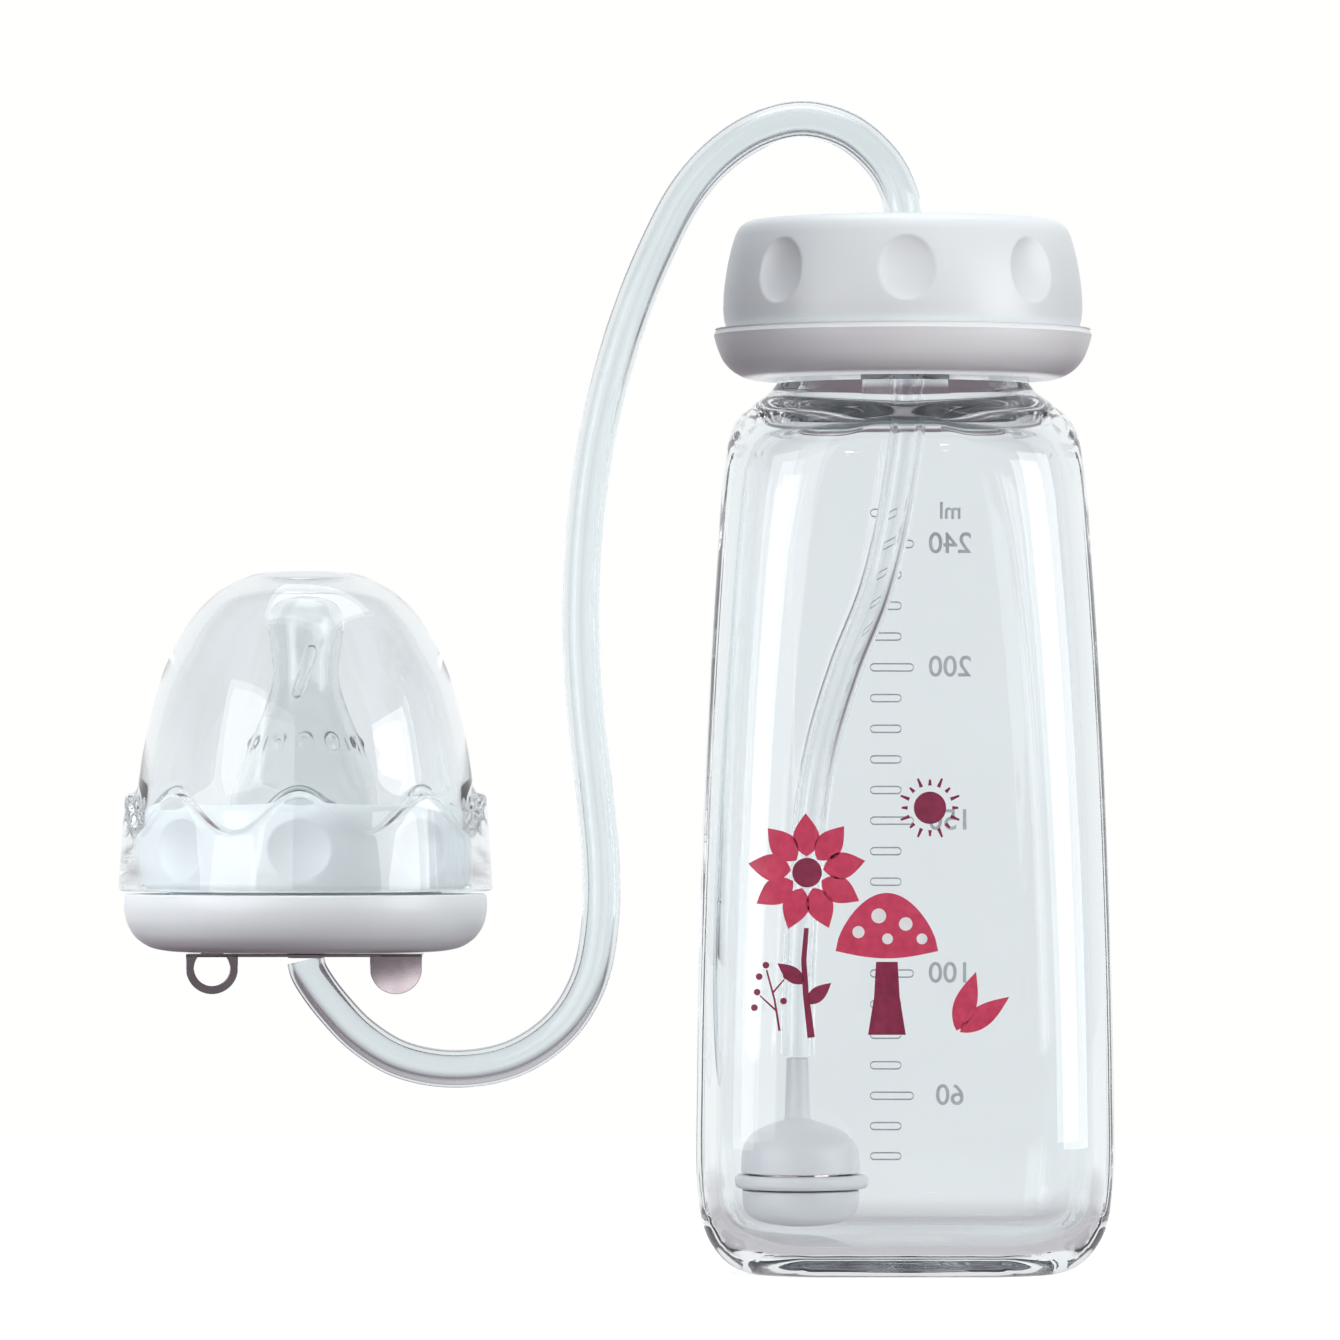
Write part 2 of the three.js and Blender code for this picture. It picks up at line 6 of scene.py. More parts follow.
import bmesh
import bpy
from mathutils import Vector
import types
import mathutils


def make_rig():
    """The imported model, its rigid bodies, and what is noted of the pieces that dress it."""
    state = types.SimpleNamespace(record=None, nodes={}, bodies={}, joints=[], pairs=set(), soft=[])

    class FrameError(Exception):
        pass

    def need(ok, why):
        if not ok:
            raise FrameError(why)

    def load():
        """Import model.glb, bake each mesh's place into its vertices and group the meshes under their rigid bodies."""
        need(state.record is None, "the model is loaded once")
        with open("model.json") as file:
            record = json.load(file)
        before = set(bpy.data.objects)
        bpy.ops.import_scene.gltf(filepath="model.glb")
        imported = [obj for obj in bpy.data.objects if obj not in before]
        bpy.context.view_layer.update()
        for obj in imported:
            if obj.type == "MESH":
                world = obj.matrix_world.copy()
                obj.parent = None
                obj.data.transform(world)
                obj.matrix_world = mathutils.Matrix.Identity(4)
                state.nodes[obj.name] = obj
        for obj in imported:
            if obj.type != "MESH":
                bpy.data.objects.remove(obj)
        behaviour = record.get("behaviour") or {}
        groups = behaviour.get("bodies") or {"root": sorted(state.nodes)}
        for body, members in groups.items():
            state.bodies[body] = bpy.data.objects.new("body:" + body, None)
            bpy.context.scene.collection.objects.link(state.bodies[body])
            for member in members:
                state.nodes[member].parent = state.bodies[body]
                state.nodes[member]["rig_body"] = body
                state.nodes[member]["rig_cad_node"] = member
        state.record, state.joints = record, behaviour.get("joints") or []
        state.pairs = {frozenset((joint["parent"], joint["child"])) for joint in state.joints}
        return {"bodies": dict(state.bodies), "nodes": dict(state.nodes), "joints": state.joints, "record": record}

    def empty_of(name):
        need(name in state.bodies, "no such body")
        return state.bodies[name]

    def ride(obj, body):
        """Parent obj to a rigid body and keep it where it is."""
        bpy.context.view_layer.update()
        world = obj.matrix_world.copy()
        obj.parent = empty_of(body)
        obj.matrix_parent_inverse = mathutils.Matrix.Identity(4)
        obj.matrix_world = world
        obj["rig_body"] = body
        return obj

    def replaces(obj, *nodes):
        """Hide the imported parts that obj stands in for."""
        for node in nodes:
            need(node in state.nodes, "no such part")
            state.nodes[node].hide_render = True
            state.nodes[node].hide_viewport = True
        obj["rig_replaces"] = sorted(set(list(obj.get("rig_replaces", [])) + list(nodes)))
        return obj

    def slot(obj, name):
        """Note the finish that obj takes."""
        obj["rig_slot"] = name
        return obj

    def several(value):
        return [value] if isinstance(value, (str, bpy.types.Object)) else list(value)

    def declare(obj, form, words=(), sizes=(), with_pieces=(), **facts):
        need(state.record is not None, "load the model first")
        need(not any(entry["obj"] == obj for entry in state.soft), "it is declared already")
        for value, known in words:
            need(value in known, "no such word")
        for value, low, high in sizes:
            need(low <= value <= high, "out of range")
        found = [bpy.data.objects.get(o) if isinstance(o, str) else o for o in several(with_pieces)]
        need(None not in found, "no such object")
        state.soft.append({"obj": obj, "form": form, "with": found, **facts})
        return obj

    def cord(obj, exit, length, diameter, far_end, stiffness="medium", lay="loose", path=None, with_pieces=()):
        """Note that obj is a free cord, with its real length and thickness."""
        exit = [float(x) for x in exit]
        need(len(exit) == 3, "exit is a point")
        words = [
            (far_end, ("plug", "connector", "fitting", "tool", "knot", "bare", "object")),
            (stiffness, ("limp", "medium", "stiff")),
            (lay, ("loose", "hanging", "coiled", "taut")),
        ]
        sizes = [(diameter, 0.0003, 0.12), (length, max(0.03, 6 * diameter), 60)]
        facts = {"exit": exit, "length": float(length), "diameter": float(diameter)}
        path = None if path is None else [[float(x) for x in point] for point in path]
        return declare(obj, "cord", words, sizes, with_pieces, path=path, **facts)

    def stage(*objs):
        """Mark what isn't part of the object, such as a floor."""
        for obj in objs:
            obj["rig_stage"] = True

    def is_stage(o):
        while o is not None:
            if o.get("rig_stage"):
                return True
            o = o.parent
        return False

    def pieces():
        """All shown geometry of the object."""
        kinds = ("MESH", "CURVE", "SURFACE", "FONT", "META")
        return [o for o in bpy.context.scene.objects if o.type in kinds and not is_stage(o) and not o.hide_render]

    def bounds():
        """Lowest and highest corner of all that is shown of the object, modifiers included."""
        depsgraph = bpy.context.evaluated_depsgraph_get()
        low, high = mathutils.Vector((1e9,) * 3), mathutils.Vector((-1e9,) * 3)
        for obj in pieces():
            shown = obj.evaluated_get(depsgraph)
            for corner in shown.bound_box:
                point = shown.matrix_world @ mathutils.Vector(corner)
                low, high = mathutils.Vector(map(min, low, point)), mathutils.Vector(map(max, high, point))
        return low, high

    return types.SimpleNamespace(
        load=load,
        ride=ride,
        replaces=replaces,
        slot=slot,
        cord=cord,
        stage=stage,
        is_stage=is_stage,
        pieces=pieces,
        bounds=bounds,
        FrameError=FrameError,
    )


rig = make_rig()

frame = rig.load()
CAD_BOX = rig.bounds()
SCENE = bpy.context.scene
MM = 0.001
TAU = 2 * math.pi

# ------------------------------------------------------------------ camera
VIEW_WIDTH = 202.0 * MM  # what the frame spans at the bottle's distance
CAMERA_DISTANCE = 1.45
EYE_HEIGHT = 74 * MM
AIM = Vector((-35.1 * MM, 0, 90.7 * MM))


def make_camera():
    data = bpy.data.cameras.new("camera")
    data.sensor_width = 36
    data.lens = 36 * CAMERA_DISTANCE / VIEW_WIDTH
    data.clip_end = 60
    camera = bpy.data.objects.new("camera", data)
    SCENE.collection.objects.link(camera)
    camera.location = (AIM.x, -CAMERA_DISTANCE, EYE_HEIGHT)
    camera.rotation_euler = (AIM - camera.location).to_track_quat("-Z", "Y").to_euler()
    SCENE.camera = camera


# ------------------------------------------------------------------ mesh helpers
def link(name, mesh):
    piece = bpy.data.objects.new(name, mesh)
    SCENE.collection.objects.link(piece)
    return piece


def mesh_piece(name, vertices, faces, sharp=35):
    """A smooth-shaded piece from vertices in millimetres, with edges over sharp degrees kept crisp."""
    mesh = bpy.data.meshes.new(name)
    mesh.from_pydata([Vector(v) * MM for v in vertices], [], faces)
    bm = bmesh.new()
    bm.from_mesh(mesh)
    bmesh.ops.recalc_face_normals(bm, faces=bm.faces)
    bm.to_mesh(mesh)
    bm.free()
    mesh.shade_smooth()
    mesh.set_sharp_from_angle(angle=math.radians(sharp))
    return link(name, mesh)


def skin(rings, first=None, last=None):
    """Vertices and faces of a skin over rings of equal count.

    The ends close on the points first and last, or else the last ring joins the first.
    """
    count = len(rings[0])
    vertices = [p for ring in rings for p in ring]
    faces = []
    pairs = list(zip(range(len(rings) - 1), range(1, len(rings))))
    if first is None:
        pairs.append((len(rings) - 1, 0))
    for a, b in pairs:
        for k in range(count):
            n = (k + 1) % count
            faces.append((a * count + k, a * count + n, b * count + n, b * count + k))
    if first is not None:
        for point, ring in ((first, 0), (last, len(rings) - 1)):
            vertices.append(point)
            tip = len(vertices) - 1
            faces += [(tip, ring * count + k, ring * count + (k + 1) % count) for k in range(count)]
    return vertices, faces


def filleted(points, steps=5):
    """A profile of (r, z) or (r, z, fillet) corners as a finer one, each fillet drawn as an arc."""
    out = []
    for i, corner in enumerate(points):
        here = Vector(corner[:2])
        size = corner[2] if len(corner) > 2 else 0
        if not size:
            out.append(tuple(here))
            continue
        before = Vector(points[i - 1][:2]) - here
        after = Vector(points[(i + 1) % len(points)][:2]) - here
        reach = min(size, 0.45 * before.length, 0.45 * after.length)
        a, b = here + before.normalized() * reach, here + after.normalized() * reach
        for s in range(steps + 1):
            t = s / steps
            out.append(tuple(a * (1 - t) ** 2 + here * 2 * t * (1 - t) + b * t * t))
    return out


def catmull_rom(points, per):
    """A centripetal curve through points, per steps between each two."""
    known = [Vector(p) for p in points]
    known = [2 * known[0] - known[1]] + known + [2 * known[-1] - known[-2]]
    out = []
    for p0, p1, p2, p3 in zip(known, known[1:], known[2:], known[3:]):
        d0, d1, d2 = ((b - a).length ** 0.5 for a, b in ((p0, p1), (p1, p2), (p2, p3)))
        m1 = ((p1 - p0) / d0 - (p2 - p0) / (d0 + d1) + (p2 - p1) / d1) * d1
        m2 = ((p2 - p1) / d1 - (p3 - p1) / (d1 + d2) + (p3 - p2) / d2) * d1
        for s in range(per):
            t = s / per
            square, cube = 3 * (p2 - p1) - 2 * m1 - m2, 2 * (p1 - p2) + m1 + m2
            out.append(p1 + m1 * t + square * t * t + cube * t ** 3)
    return out + [known[-2]]


def refined(profile, longest):
    """The same profile with no step longer than longest."""
    out = [profile[0]]
    for a, b in zip(profile, profile[1:]):
        n = max(1, math.ceil(math.dist(a, b) / longest))
        out += [tuple(a[i] + (b[i] - a[i]) * s / n for i in (0, 1)) for s in range(1, n + 1)]
    return out


def around(count, at):
    return [at(TAU * k / count) for k in range(count)]


def turned(name, profile, x=0.0, y=0.0, sides=160, shape=None, sharp=35):
    """Turns an (r, z) profile about a vertical axis. It runs from axis to axis, or closes on itself.
    shape(r, z, angle) may give each point its own radius and height."""
    shape = shape or (lambda r, z, a: (r, z))

    def ring(r, z):
        def at(a):
            rr, zz = shape(r, z, a)
            return (x + rr * math.cos(a), y + rr * math.sin(a), zz)
        return around(sides, at)

    solid = profile[0][0] < 1e-6
    body = profile[1:-1] if solid else profile
    ends = [(x, y, profile[0][1]), (x, y, profile[-1][1])] if solid else [None, None]
    return mesh_piece(name, *skin([ring(*p) for p in body], *ends), sharp=sharp)


def joined(name, pieces):
    """Several mesh pieces as one."""
    bpy.ops.object.select_all(action="DESELECT")
    for piece in pieces:
        piece.select_set(True)
    bpy.context.view_layer.objects.active = pieces[0]
    bpy.ops.object.join()
    pieces[0].name = name
    return pieces[0]


def dress(piece, material, body, slot, *nodes):
    piece.data.materials.clear()
    piece.data.materials.append(material)
    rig.ride(piece, body)
    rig.slot(piece, slot)
    if nodes:
        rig.replaces(piece, *nodes)
    return piece


# ------------------------------------------------------------------ materials
def new_material(name, colour, roughness):
    material = bpy.data.materials.new(name)
    material.use_nodes = True
    bsdf = material.node_tree.nodes["Principled BSDF"]
    bsdf.inputs["Base Color"].default_value = (*colour, 1)
    bsdf.inputs["Roughness"].default_value = roughness
    return material, bsdf


def noise(material, scale, detail=2.0, stretch=(1, 1, 1)):
    nodes, links = material.node_tree.nodes, material.node_tree.links
    coords = nodes.new("ShaderNodeTexCoord")
    mapping = nodes.new("ShaderNodeMapping")
    mapping.inputs["Scale"].default_value = stretch
    texture = nodes.new("ShaderNodeTexNoise")
    texture.inputs["Scale"].default_value = scale
    texture.inputs["Detail"].default_value = detail
    links.new(coords.outputs["Object"], mapping.inputs["Vector"])
    links.new(mapping.outputs["Vector"], texture.inputs["Vector"])
    return texture.outputs["Fac"]


def spread(material, source, low, high, socket):
    """Drives a number socket from low to high with a noise."""
    node = material.node_tree.nodes.new("ShaderNodeMapRange")
    node.inputs["From Min"].default_value = 0.3
    node.inputs["From Max"].default_value = 0.7
    node.inputs["To Min"].default_value = low
    node.inputs["To Max"].default_value = high
    material.node_tree.links.new(source, node.inputs["Value"])
    material.node_tree.links.new(node.outputs["Result"], socket)


def tint(material, source, dark, light, socket):
    """Drives a colour socket between two colours with a noise."""
    node = material.node_tree.nodes.new("ShaderNodeValToRGB")
    node.color_ramp.elements[0].position = 0.3
    node.color_ramp.elements[1].position = 0.7
    node.color_ramp.elements[0].color = (*dark, 1)
    node.color_ramp.elements[1].color = (*light, 1)
    material.node_tree.links.new(source, node.inputs["Fac"])
    material.node_tree.links.new(node.outputs["Color"], socket)


def bump(material, source, strength, distance, bsdf):
    node = material.node_tree.nodes.new("ShaderNodeBump")
    node.inputs["Strength"].default_value = strength
    node.inputs["Distance"].default_value = distance
    material.node_tree.links.new(source, node.inputs["Height"])
    material.node_tree.links.new(node.outputs["Normal"], bsdf.inputs["Normal"])


def lets_lamps_through(material, bsdf, colour):
    """Lamps reach what the clear surface shuts in."""
    nodes, links = material.node_tree.nodes, material.node_tree.links
    path = nodes.new("ShaderNodeLightPath")
    clear = nodes.new("ShaderNodeBsdfTransparent")
    clear.inputs["Color"].default_value = (*colour, 1)
    mix = nodes.new("ShaderNodeMixShader")
    links.new(path.outputs["Is Shadow Ray"], mix.inputs["Fac"])
    links.new(bsdf.outputs["BSDF"], mix.inputs[1])
    links.new(clear.outputs["BSDF"], mix.inputs[2])
    links.new(mix.outputs["Shader"], nodes["Material Output"].inputs["Surface"])


def clear_material(name, colour, roughness, ior, wave, wave_height, gloss=0.5):
    """Clear glass, plastic or silicone: a faint tint that varies, and a slow unevenness of the surface."""
    material, bsdf = new_material(name, colour, roughness)
    bsdf.inputs["Transmission Weight"].default_value = 1
    bsdf.inputs["IOR"].default_value = ior
    bsdf.inputs["Specular IOR Level"].default_value = gloss
    slow = noise(material, wave)
    tint(material, slow, tuple(c * 0.985 for c in colour), colour, bsdf.inputs["Base Color"])
    spread(material, noise(material, 900, 3), roughness, roughness + 0.02, bsdf.inputs["Roughness"])
    bump(material, slow, 0.5, wave_height, bsdf)
    lets_lamps_through(material, bsdf, tuple(c ** 0.5 for c in colour))
    return material


def plastic_material(name, colour, roughness, grain=2600):
    """Moulded plastic: fine grain, uneven sheen and a slight shift of colour."""
    material, bsdf = new_material(name, colour, roughness)
    fine = noise(material, grain, 3)
    slow = noise(material, 60, 2)
    tint(material, slow, tuple(c * 0.97 for c in colour), colour, bsdf.inputs["Base Color"])
    spread(material, slow, roughness - 0.04, roughness + 0.05, bsdf.inputs["Roughness"])
    bump(material, fine, 0.12, 0.02 * MM, bsdf)
    return material


def glow_inside(material, inner, outer, strength):
    """Painted glow: emission near the bottle's axis only, which brightens the inside of the thin white plastic dish as
    if light soaked through it.
    """
    nodes, links = material.node_tree.nodes, material.node_tree.links
    coords = nodes.new("ShaderNodeTexCoord")
    flat = nodes.new("ShaderNodeMapping")
    flat.inputs["Scale"].default_value = (1, 1, 0)
    radius = nodes.new("ShaderNodeVectorMath")
    radius.operation = "LENGTH"
    links.new(coords.outputs["Object"], flat.inputs["Vector"])
    links.new(flat.outputs["Vector"], radius.inputs[0])
    fade = nodes.new("ShaderNodeMapRange")
    fade.inputs["From Min"].default_value = inner
    fade.inputs["From Max"].default_value = outer
    fade.inputs["To Min"].default_value = strength
    fade.inputs["To Max"].default_value = 0
    links.new(radius.outputs["Value"], fade.inputs["Value"])
    bsdf = nodes["Principled BSDF"]
    bsdf.inputs["Emission Color"].default_value = (0.97, 0.97, 1, 1)
    links.new(fade.outputs["Result"], bsdf.inputs["Emission Strength"])


def steel_material():
    material, bsdf = new_material("polished_steel", (0.36, 0.33, 0.35), 0.05)
    bsdf.inputs["Metallic"].default_value = 1
    brushed = noise(material, 1500, 4, (1, 12, 12))
    tint(material, noise(material, 200), (0.29, 0.255, 0.27), (0.37, 0.33, 0.345), bsdf.inputs["Base Color"])
    spread(material, brushed, 0.04, 0.09, bsdf.inputs["Roughness"])
    bump(material, brushed, 0.1, 0.003 * MM, bsdf)
    return material


def ink_material(name, dark, light):
    """Screen-printed ink: a little uneven in colour and sheen."""
    material, bsdf = new_material(name, light, 0.35)
    tint(material, noise(material, 700, 4), dark, light, bsdf.inputs["Base Color"])
    spread(material, noise(material, 300), 0.28, 0.45, bsdf.inputs["Roughness"])
    bump(material, noise(material, 4000, 2), 0.1, 0.01 * MM, bsdf)
    return material


# ------------------------------------------------------------------ cords
TUBE_R, TUBE_BORE_R = 2.85, 1.95
STRAW_R, STRAW_BORE_R = 2.65, 1.75
TUBE_ROUTE = [
    (0, 158.5), (0, 160.2), (-0.8, 163.4), (-3.1, 167.5), (-8.2, 171.9), (-14.8, 173.7), (-21.4, 172.3),
    (-27.4, 168.5), (-32.5, 162.8), (-37.2, 153.9), (-40.9, 144.8), (-44.0, 134.8), (-46.4, 123.8),
    (-47.9, 111.8), (-48.5, 98.0), (-47.9, 85.5), (-46.6, 73.5), (-45.5, 61.8), (-45.6, 52.8),
    (-47.4, 43.8), (-51.6, 37.0), (-58.6, 32.2), (-67.3, 30.6), (-75.6, 32.0), (-81.6, 35.6),
    (-85.8, 39.9), (-88.4, 43.3), (-89.6, 45.4), (-90.0, 47.0),
]
STRAW_ROUTE = [
    (0, 147.0), (0, 144.5), (0.4, 137.5), (0.7, 129.0), (-0.8, 116.5), (-4.0, 102.8), (-8.6, 91.0),
    (-12.2, 79.0), (-14.3, 65.0), (-15.5, 50.0), (-15.9, 36.5), (-15.9, 32.6),
]


def hose(name, route, radius, bore, per, sides=40):
    """A hollow hose along a route in the plane Y = 0, and the points that it follows."""
    line = catmull_rom([(x, 0, z) for x, z in route], per)
    outer, inner = [], []
    for i, here in enumerate(line):
        along = (line[min(i + 1, len(line) - 1)] - line[max(i - 1, 0)]).normalized()
        across = Vector((0, 1, 0)).cross(along)
        for rings, r in ((outer, radius), (inner, bore)):
            rings.append(around(sides, lambda a: tuple(
                here + across * r * math.cos(a) + Vector((0, r * math.sin(a), 0)))))
    piece = mesh_piece(name, *skin(outer + inner[::-1]))
    return piece, [tuple(p * MM) for p in line]


def length_of(line):
    return sum(math.dist(a, b) for a, b in zip(line, line[1:]))


def make_cords(silicone, straw_silicone):
    tube, line = hose("feed_hose", TUBE_ROUTE, TUBE_R, TUBE_BORE_R, 10)
    dress(tube, silicone, "hose", "clear_silicone", "feed_tube")
    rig.cord(tube, exit=line[0], length=length_of(line), diameter=2 * TUBE_R * MM, far_end="object",
            stiffness="medium", lay="loose", path=line)
    straw, line = hose("straw_hose", STRAW_ROUTE, STRAW_R, STRAW_BORE_R, 10)
    dress(straw, straw_silicone, "straw", "clear_silicone", "inner_straw")
    return straw, line


# ------------------------------------------------------------------ bottle
# Height, half width, half depth and corner radius, as the CAD has them.
BOTTLE_OUTSIDE = [
    (0, 21.5, 16.6, 9.5), (0.35, 23.6, 18.7, 10.5), (1.6, 26.2, 21.2, 11.5), (3.8, 28.3, 23.2, 12.2),
    (6.8, 29.9, 24.8, 12.6), (12.5, 31.0, 25.9, 12.8), (30, 31.1, 26.0, 12.8), (64, 30.3, 25.5, 13.4),
    (94, 28.9, 24.9, 14.2), (109, 27.9, 24.5, 14.8), (118, 27.3, 24.2, 15.4), (124, 26.5, 23.9, 16.6),
    (127.4, 25.6, 23.5, 18.6), (129.6, 23.8, 22.9, 21.4), (131.2, 21.9, 21.6, 21.4),
    (132.6, 20.1, 20.1, 20.1),
    (133.8, 19.0, 19.0, 19.0),
]
BOTTLE_INSIDE = [
    (130.2, 16.8, 16.8, 16.8), (129.0, 17.9, 17.7, 17.3), (127.6, 20.6, 19.9, 17.2),
    (125.6, 22.6, 20.9, 15.6),
    (122.5, 23.6, 21.3, 13.8), (117, 24.3, 21.4, 12.6), (94, 25.9, 21.9, 11.2), (64, 27.3, 22.5, 10.4),
    (30, 28.1, 23.0, 9.8),
    (13.5, 28.0, 22.9, 9.8), (8.6, 27.1, 22.0, 9.6), (5.6, 25.0, 20.0, 9.0), (4.3, 22.2, 17.2, 8.0),
    (4.0, 19.0, 14.0, 7.0),
]
NECK_TOP, NECK_R, NECK_BORE_R = 152.0, 19.0, 16.6
BOTTLE_SIDES = 256
BOTTLE_FLOOR = 4.0
NECK_MIDDLE, NECK_LIP = 150, 0.8  # the neck is straight up to here; the fillet of its lip


def reach(half_width, half_depth, corner, angle):
    """Distance from the centre to a rounded rectangle's outline."""
    c, s = abs(math.cos(angle)), abs(math.sin(angle))
    if half_width * s <= (half_depth - corner) * c:
        return half_width / c
    if half_depth * c <= (half_width - corner) * s:
        return half_depth / s
    cx, cy = half_width - corner, half_depth - corner
    along = cx * c + cy * s
    return along + math.sqrt(max(0.0, along * along - cx * cx - cy * cy + corner * corner))


def sections(rows, per):
    """The rows as a smooth run of finer ones."""
    fine = []
    for p in catmull_rom([(z, a, b) for z, a, b, _ in rows], per):
        fine.append([p.x, p.y, p.z])
    corners = catmull_rom([(z, r, 0) for z, _, _, r in rows], per)
    return [(z, a, b, min(c.y, a, b)) for (z, a, b), c in zip(fine, corners)]


OUTSIDE = sections(BOTTLE_OUTSIDE, 8)


def section_ring(z, a, b, corner):
    def at(angle):
        r = reach(a, b, corner, angle)
        return (r * math.cos(angle), r * math.sin(angle), z)
    return around(BOTTLE_SIDES, at)


def outside_at(z):
    """Half width, half depth and corner radius of the bottle's outside at a height."""
    for low, high in zip(OUTSIDE, OUTSIDE[1:]):
        if low[0] <= z <= high[0]:
            t = (z - low[0]) / max(high[0] - low[0], 1e-9)
            return [low[i] + (high[i] - low[i]) * t for i in (1, 2, 3)]
    return OUTSIDE[-1][1:]


def wall_depth(x, z):
    """How far the outside of the bottle's front or back wall stands from the middle plane."""
    a, b, corner = outside_at(z)
    past = abs(x) - (a - corner)
    return b if past <= 0 else b - corner + math.sqrt(max(0.0, corner * corner - past * past))


def thread(name, root, tip, z, pitch, turns, x=0.0, half=0.72, half_tip=0.4, steps=96):
    """A screw thread's ridge, its ends run out to nothing."""
    rings, total = [], round(steps * turns)
    for i in range(total + 1):
        angle, rise = TAU * i / steps, z + pitch * i / steps
        grow = min(1, i / 8, (total - i) / 8)
        top = root + (tip - root) * max(grow, 0.02)
        section = filleted([(root, -half), (top, -half_tip, 0.2), (top, half_tip, 0.2), (root, half)], 3)
        rings.append([(x + r * math.cos(angle), r * math.sin(angle), rise + dz) for r, dz in section])

    def middle(ring):
        return tuple(sum(p[i] for p in ring) / len(ring) for i in range(3))

    return mesh_piece(name, *skin(rings, middle(rings[0]), middle(rings[-1])))


def make_bottle(glass):
    neck = filleted([(NECK_R, NECK_MIDDLE), (NECK_R, NECK_TOP, NECK_LIP),
                     (NECK_BORE_R, NECK_TOP, NECK_LIP), (NECK_BORE_R, NECK_MIDDLE)])
    rings = [section_ring(*row) for row in OUTSIDE]
    rings += [section_ring(z, r, r, r) for r, z in neck]
    rings += [section_ring(*row) for row in sections(BOTTLE_INSIDE, 8)]
    body = mesh_piece("bottle", *skin(rings, (0, 0, 0), (0, 0, BOTTLE_FLOOR)), sharp=40)
    ridge = thread("neck_thread", 18.8, 20.8, 143.6, 3.5, 1.5)
    dress(body, glass, "bottle", "bottle_glass", "bottle_body")
    dress(ridge, glass, "bottle", "bottle_glass")


# ------------------------------------------------------------------ collars
DIMPLE_ANGLES = [math.radians(a) for a in (-135, -90, -45, 45, 90, 135)]


def dimpled(radius, z_mid, half_width, half_height, depth):
    """A shape for turned(): three shallow round hollows in the front of the wall and three in the back."""
    def shape(r, z, angle):
        if r < radius - 2.6 or abs(z - z_mid) > half_height:
            return r, z
        off = min(abs(math.remainder(angle - a, TAU)) for a in DIMPLE_ANGLES)
        d2 = (off * radius / half_width) ** 2 + ((z - z_mid) / half_height) ** 2
        return (r - depth * (1 - d2) ** 0.8 if d2 < 1 else r), z
    return shape


def make_bottle_collar(white):
    outer = [(26.5, 142.08, 0.2), (26.9, 143.2, 0.6), (27.1, 144.9, 1.2), (27.0, 147.8, 1.5),
             (26.6, 150.8, 1.5),
             (26.0, 153.8, 1.5), (25.2, 156.4, 1.3), (24.5, 157.6, 0.8), (23.2, 158.4, 0.9)]
    rest = [(13.8, 158.4, 0.5), (13.8, 156.4), (21.9, 156.4), (21.9, 142.9), (23.5, 142.9), (23.6, 154.4),
            (23.9, 154.4), (24.5, 142.08, 0.2)]
    profile = filleted(outer + rest)
    start = next(i for i, p in enumerate(profile) if p[1] > 144.6)
    stop = next(i for i, p in enumerate(profile) if p[1] > 156.2)
    fine = refined(profile[start:stop], 0.25)
    profile = profile[:start] + fine + profile[stop:]
    wall = turned("collar", profile, sides=512, shape=dimpled(27.0, 150.1, 4.3, 4.9, 1.2), sharp=50)
    ridge = thread("collar_thread", 22.0, 20.3, 145.35, 3.5, 1.5)
    dress(wall, white, "collar", "white_plastic", "bottle_collar")
    dress(ridge, white, "collar", "white_plastic")


def make_drip_ring(white):
    outline = catmull_rom([(21.2, 134.45, 0), (23.2, 134.6, 0), (25.4, 135.6, 0), (27.0, 137.2, 0),
                           (28.0, 139.4, 0), (28.5, 141.2, 0)], 6)
    inside = catmull_rom([(26.3, 140.4, 0), (25.2, 138.0, 0), (23.6, 136.8, 0), (21.2, 136.4, 0)], 5)
    rim = [(28.55, 142.1, 0.5), (27.5, 142.1, 0.3), (27.4, 141.9, 0.1), (24.2, 141.9, 0.3),
           (24.2, 140.6, 0.3)]
    profile = [(p.x, p.y) for p in outline] + filleted(rim, 3)
    profile += [(p.x, p.y) for p in inside]
    dress(turned("dish_ring", profile, sides=220), white, "bottle", "white_plastic", "drip_ring")


def make_lid(white, grey, silicone):
    plug = filleted([
        (1.0, 152.0), (2.8, 152.0), (2.8, 157.0, 0.2), (13.2, 157.0, 0.4), (13.4, 155.7), (19.4, 155.7, 0.3),
        (19.4, 154.1, 0.3), (16.2, 154.1), (15.9, 149.8, 0.4), (14.5, 149.8, 0.4), (14.2, 154.2),
        (4.4, 154.2, 0.5),
        (4.2, 151.3, 0.5), (2.5, 150.5), (2.3, 149.6), (2.2, 149.0), (1.8, 148.15), (1.0, 147.55)])
    dress(turned("plug", plug, sides=128), white, "lid", "white_plastic", "lid_plug")
    spigot = filleted([(1.3, 152.4), (2.4, 152.4), (2.4, 157.3), (4.6, 157.3, 0.2), (4.6, 157.9, 0.25),
                       (3.2, 158.2, 0.1), (1.3, 158.2)])
    dress(turned("spigot", spigot, sides=96), grey, "hose", "grey_plastic", "swivel_spigot")
    valve = filleted([(0, 150.9), (0.9, 151.2), (2.0, 152.6), (2.7, 153.3), (1.75, 153.5), (1.75, 157.3),
                      (3.1, 157.3, 0.2), (3.1, 157.8, 0.3), (1.2, 158.2, 0.3), (0, 158.2)])
    dress(turned("air_valve", valve, x=8.6, sides=64), silicone, "lid", "clear_silicone", "vent_valve")


# ------------------------------------------------------------------ straw weight
WEIGHT_X = -15.9


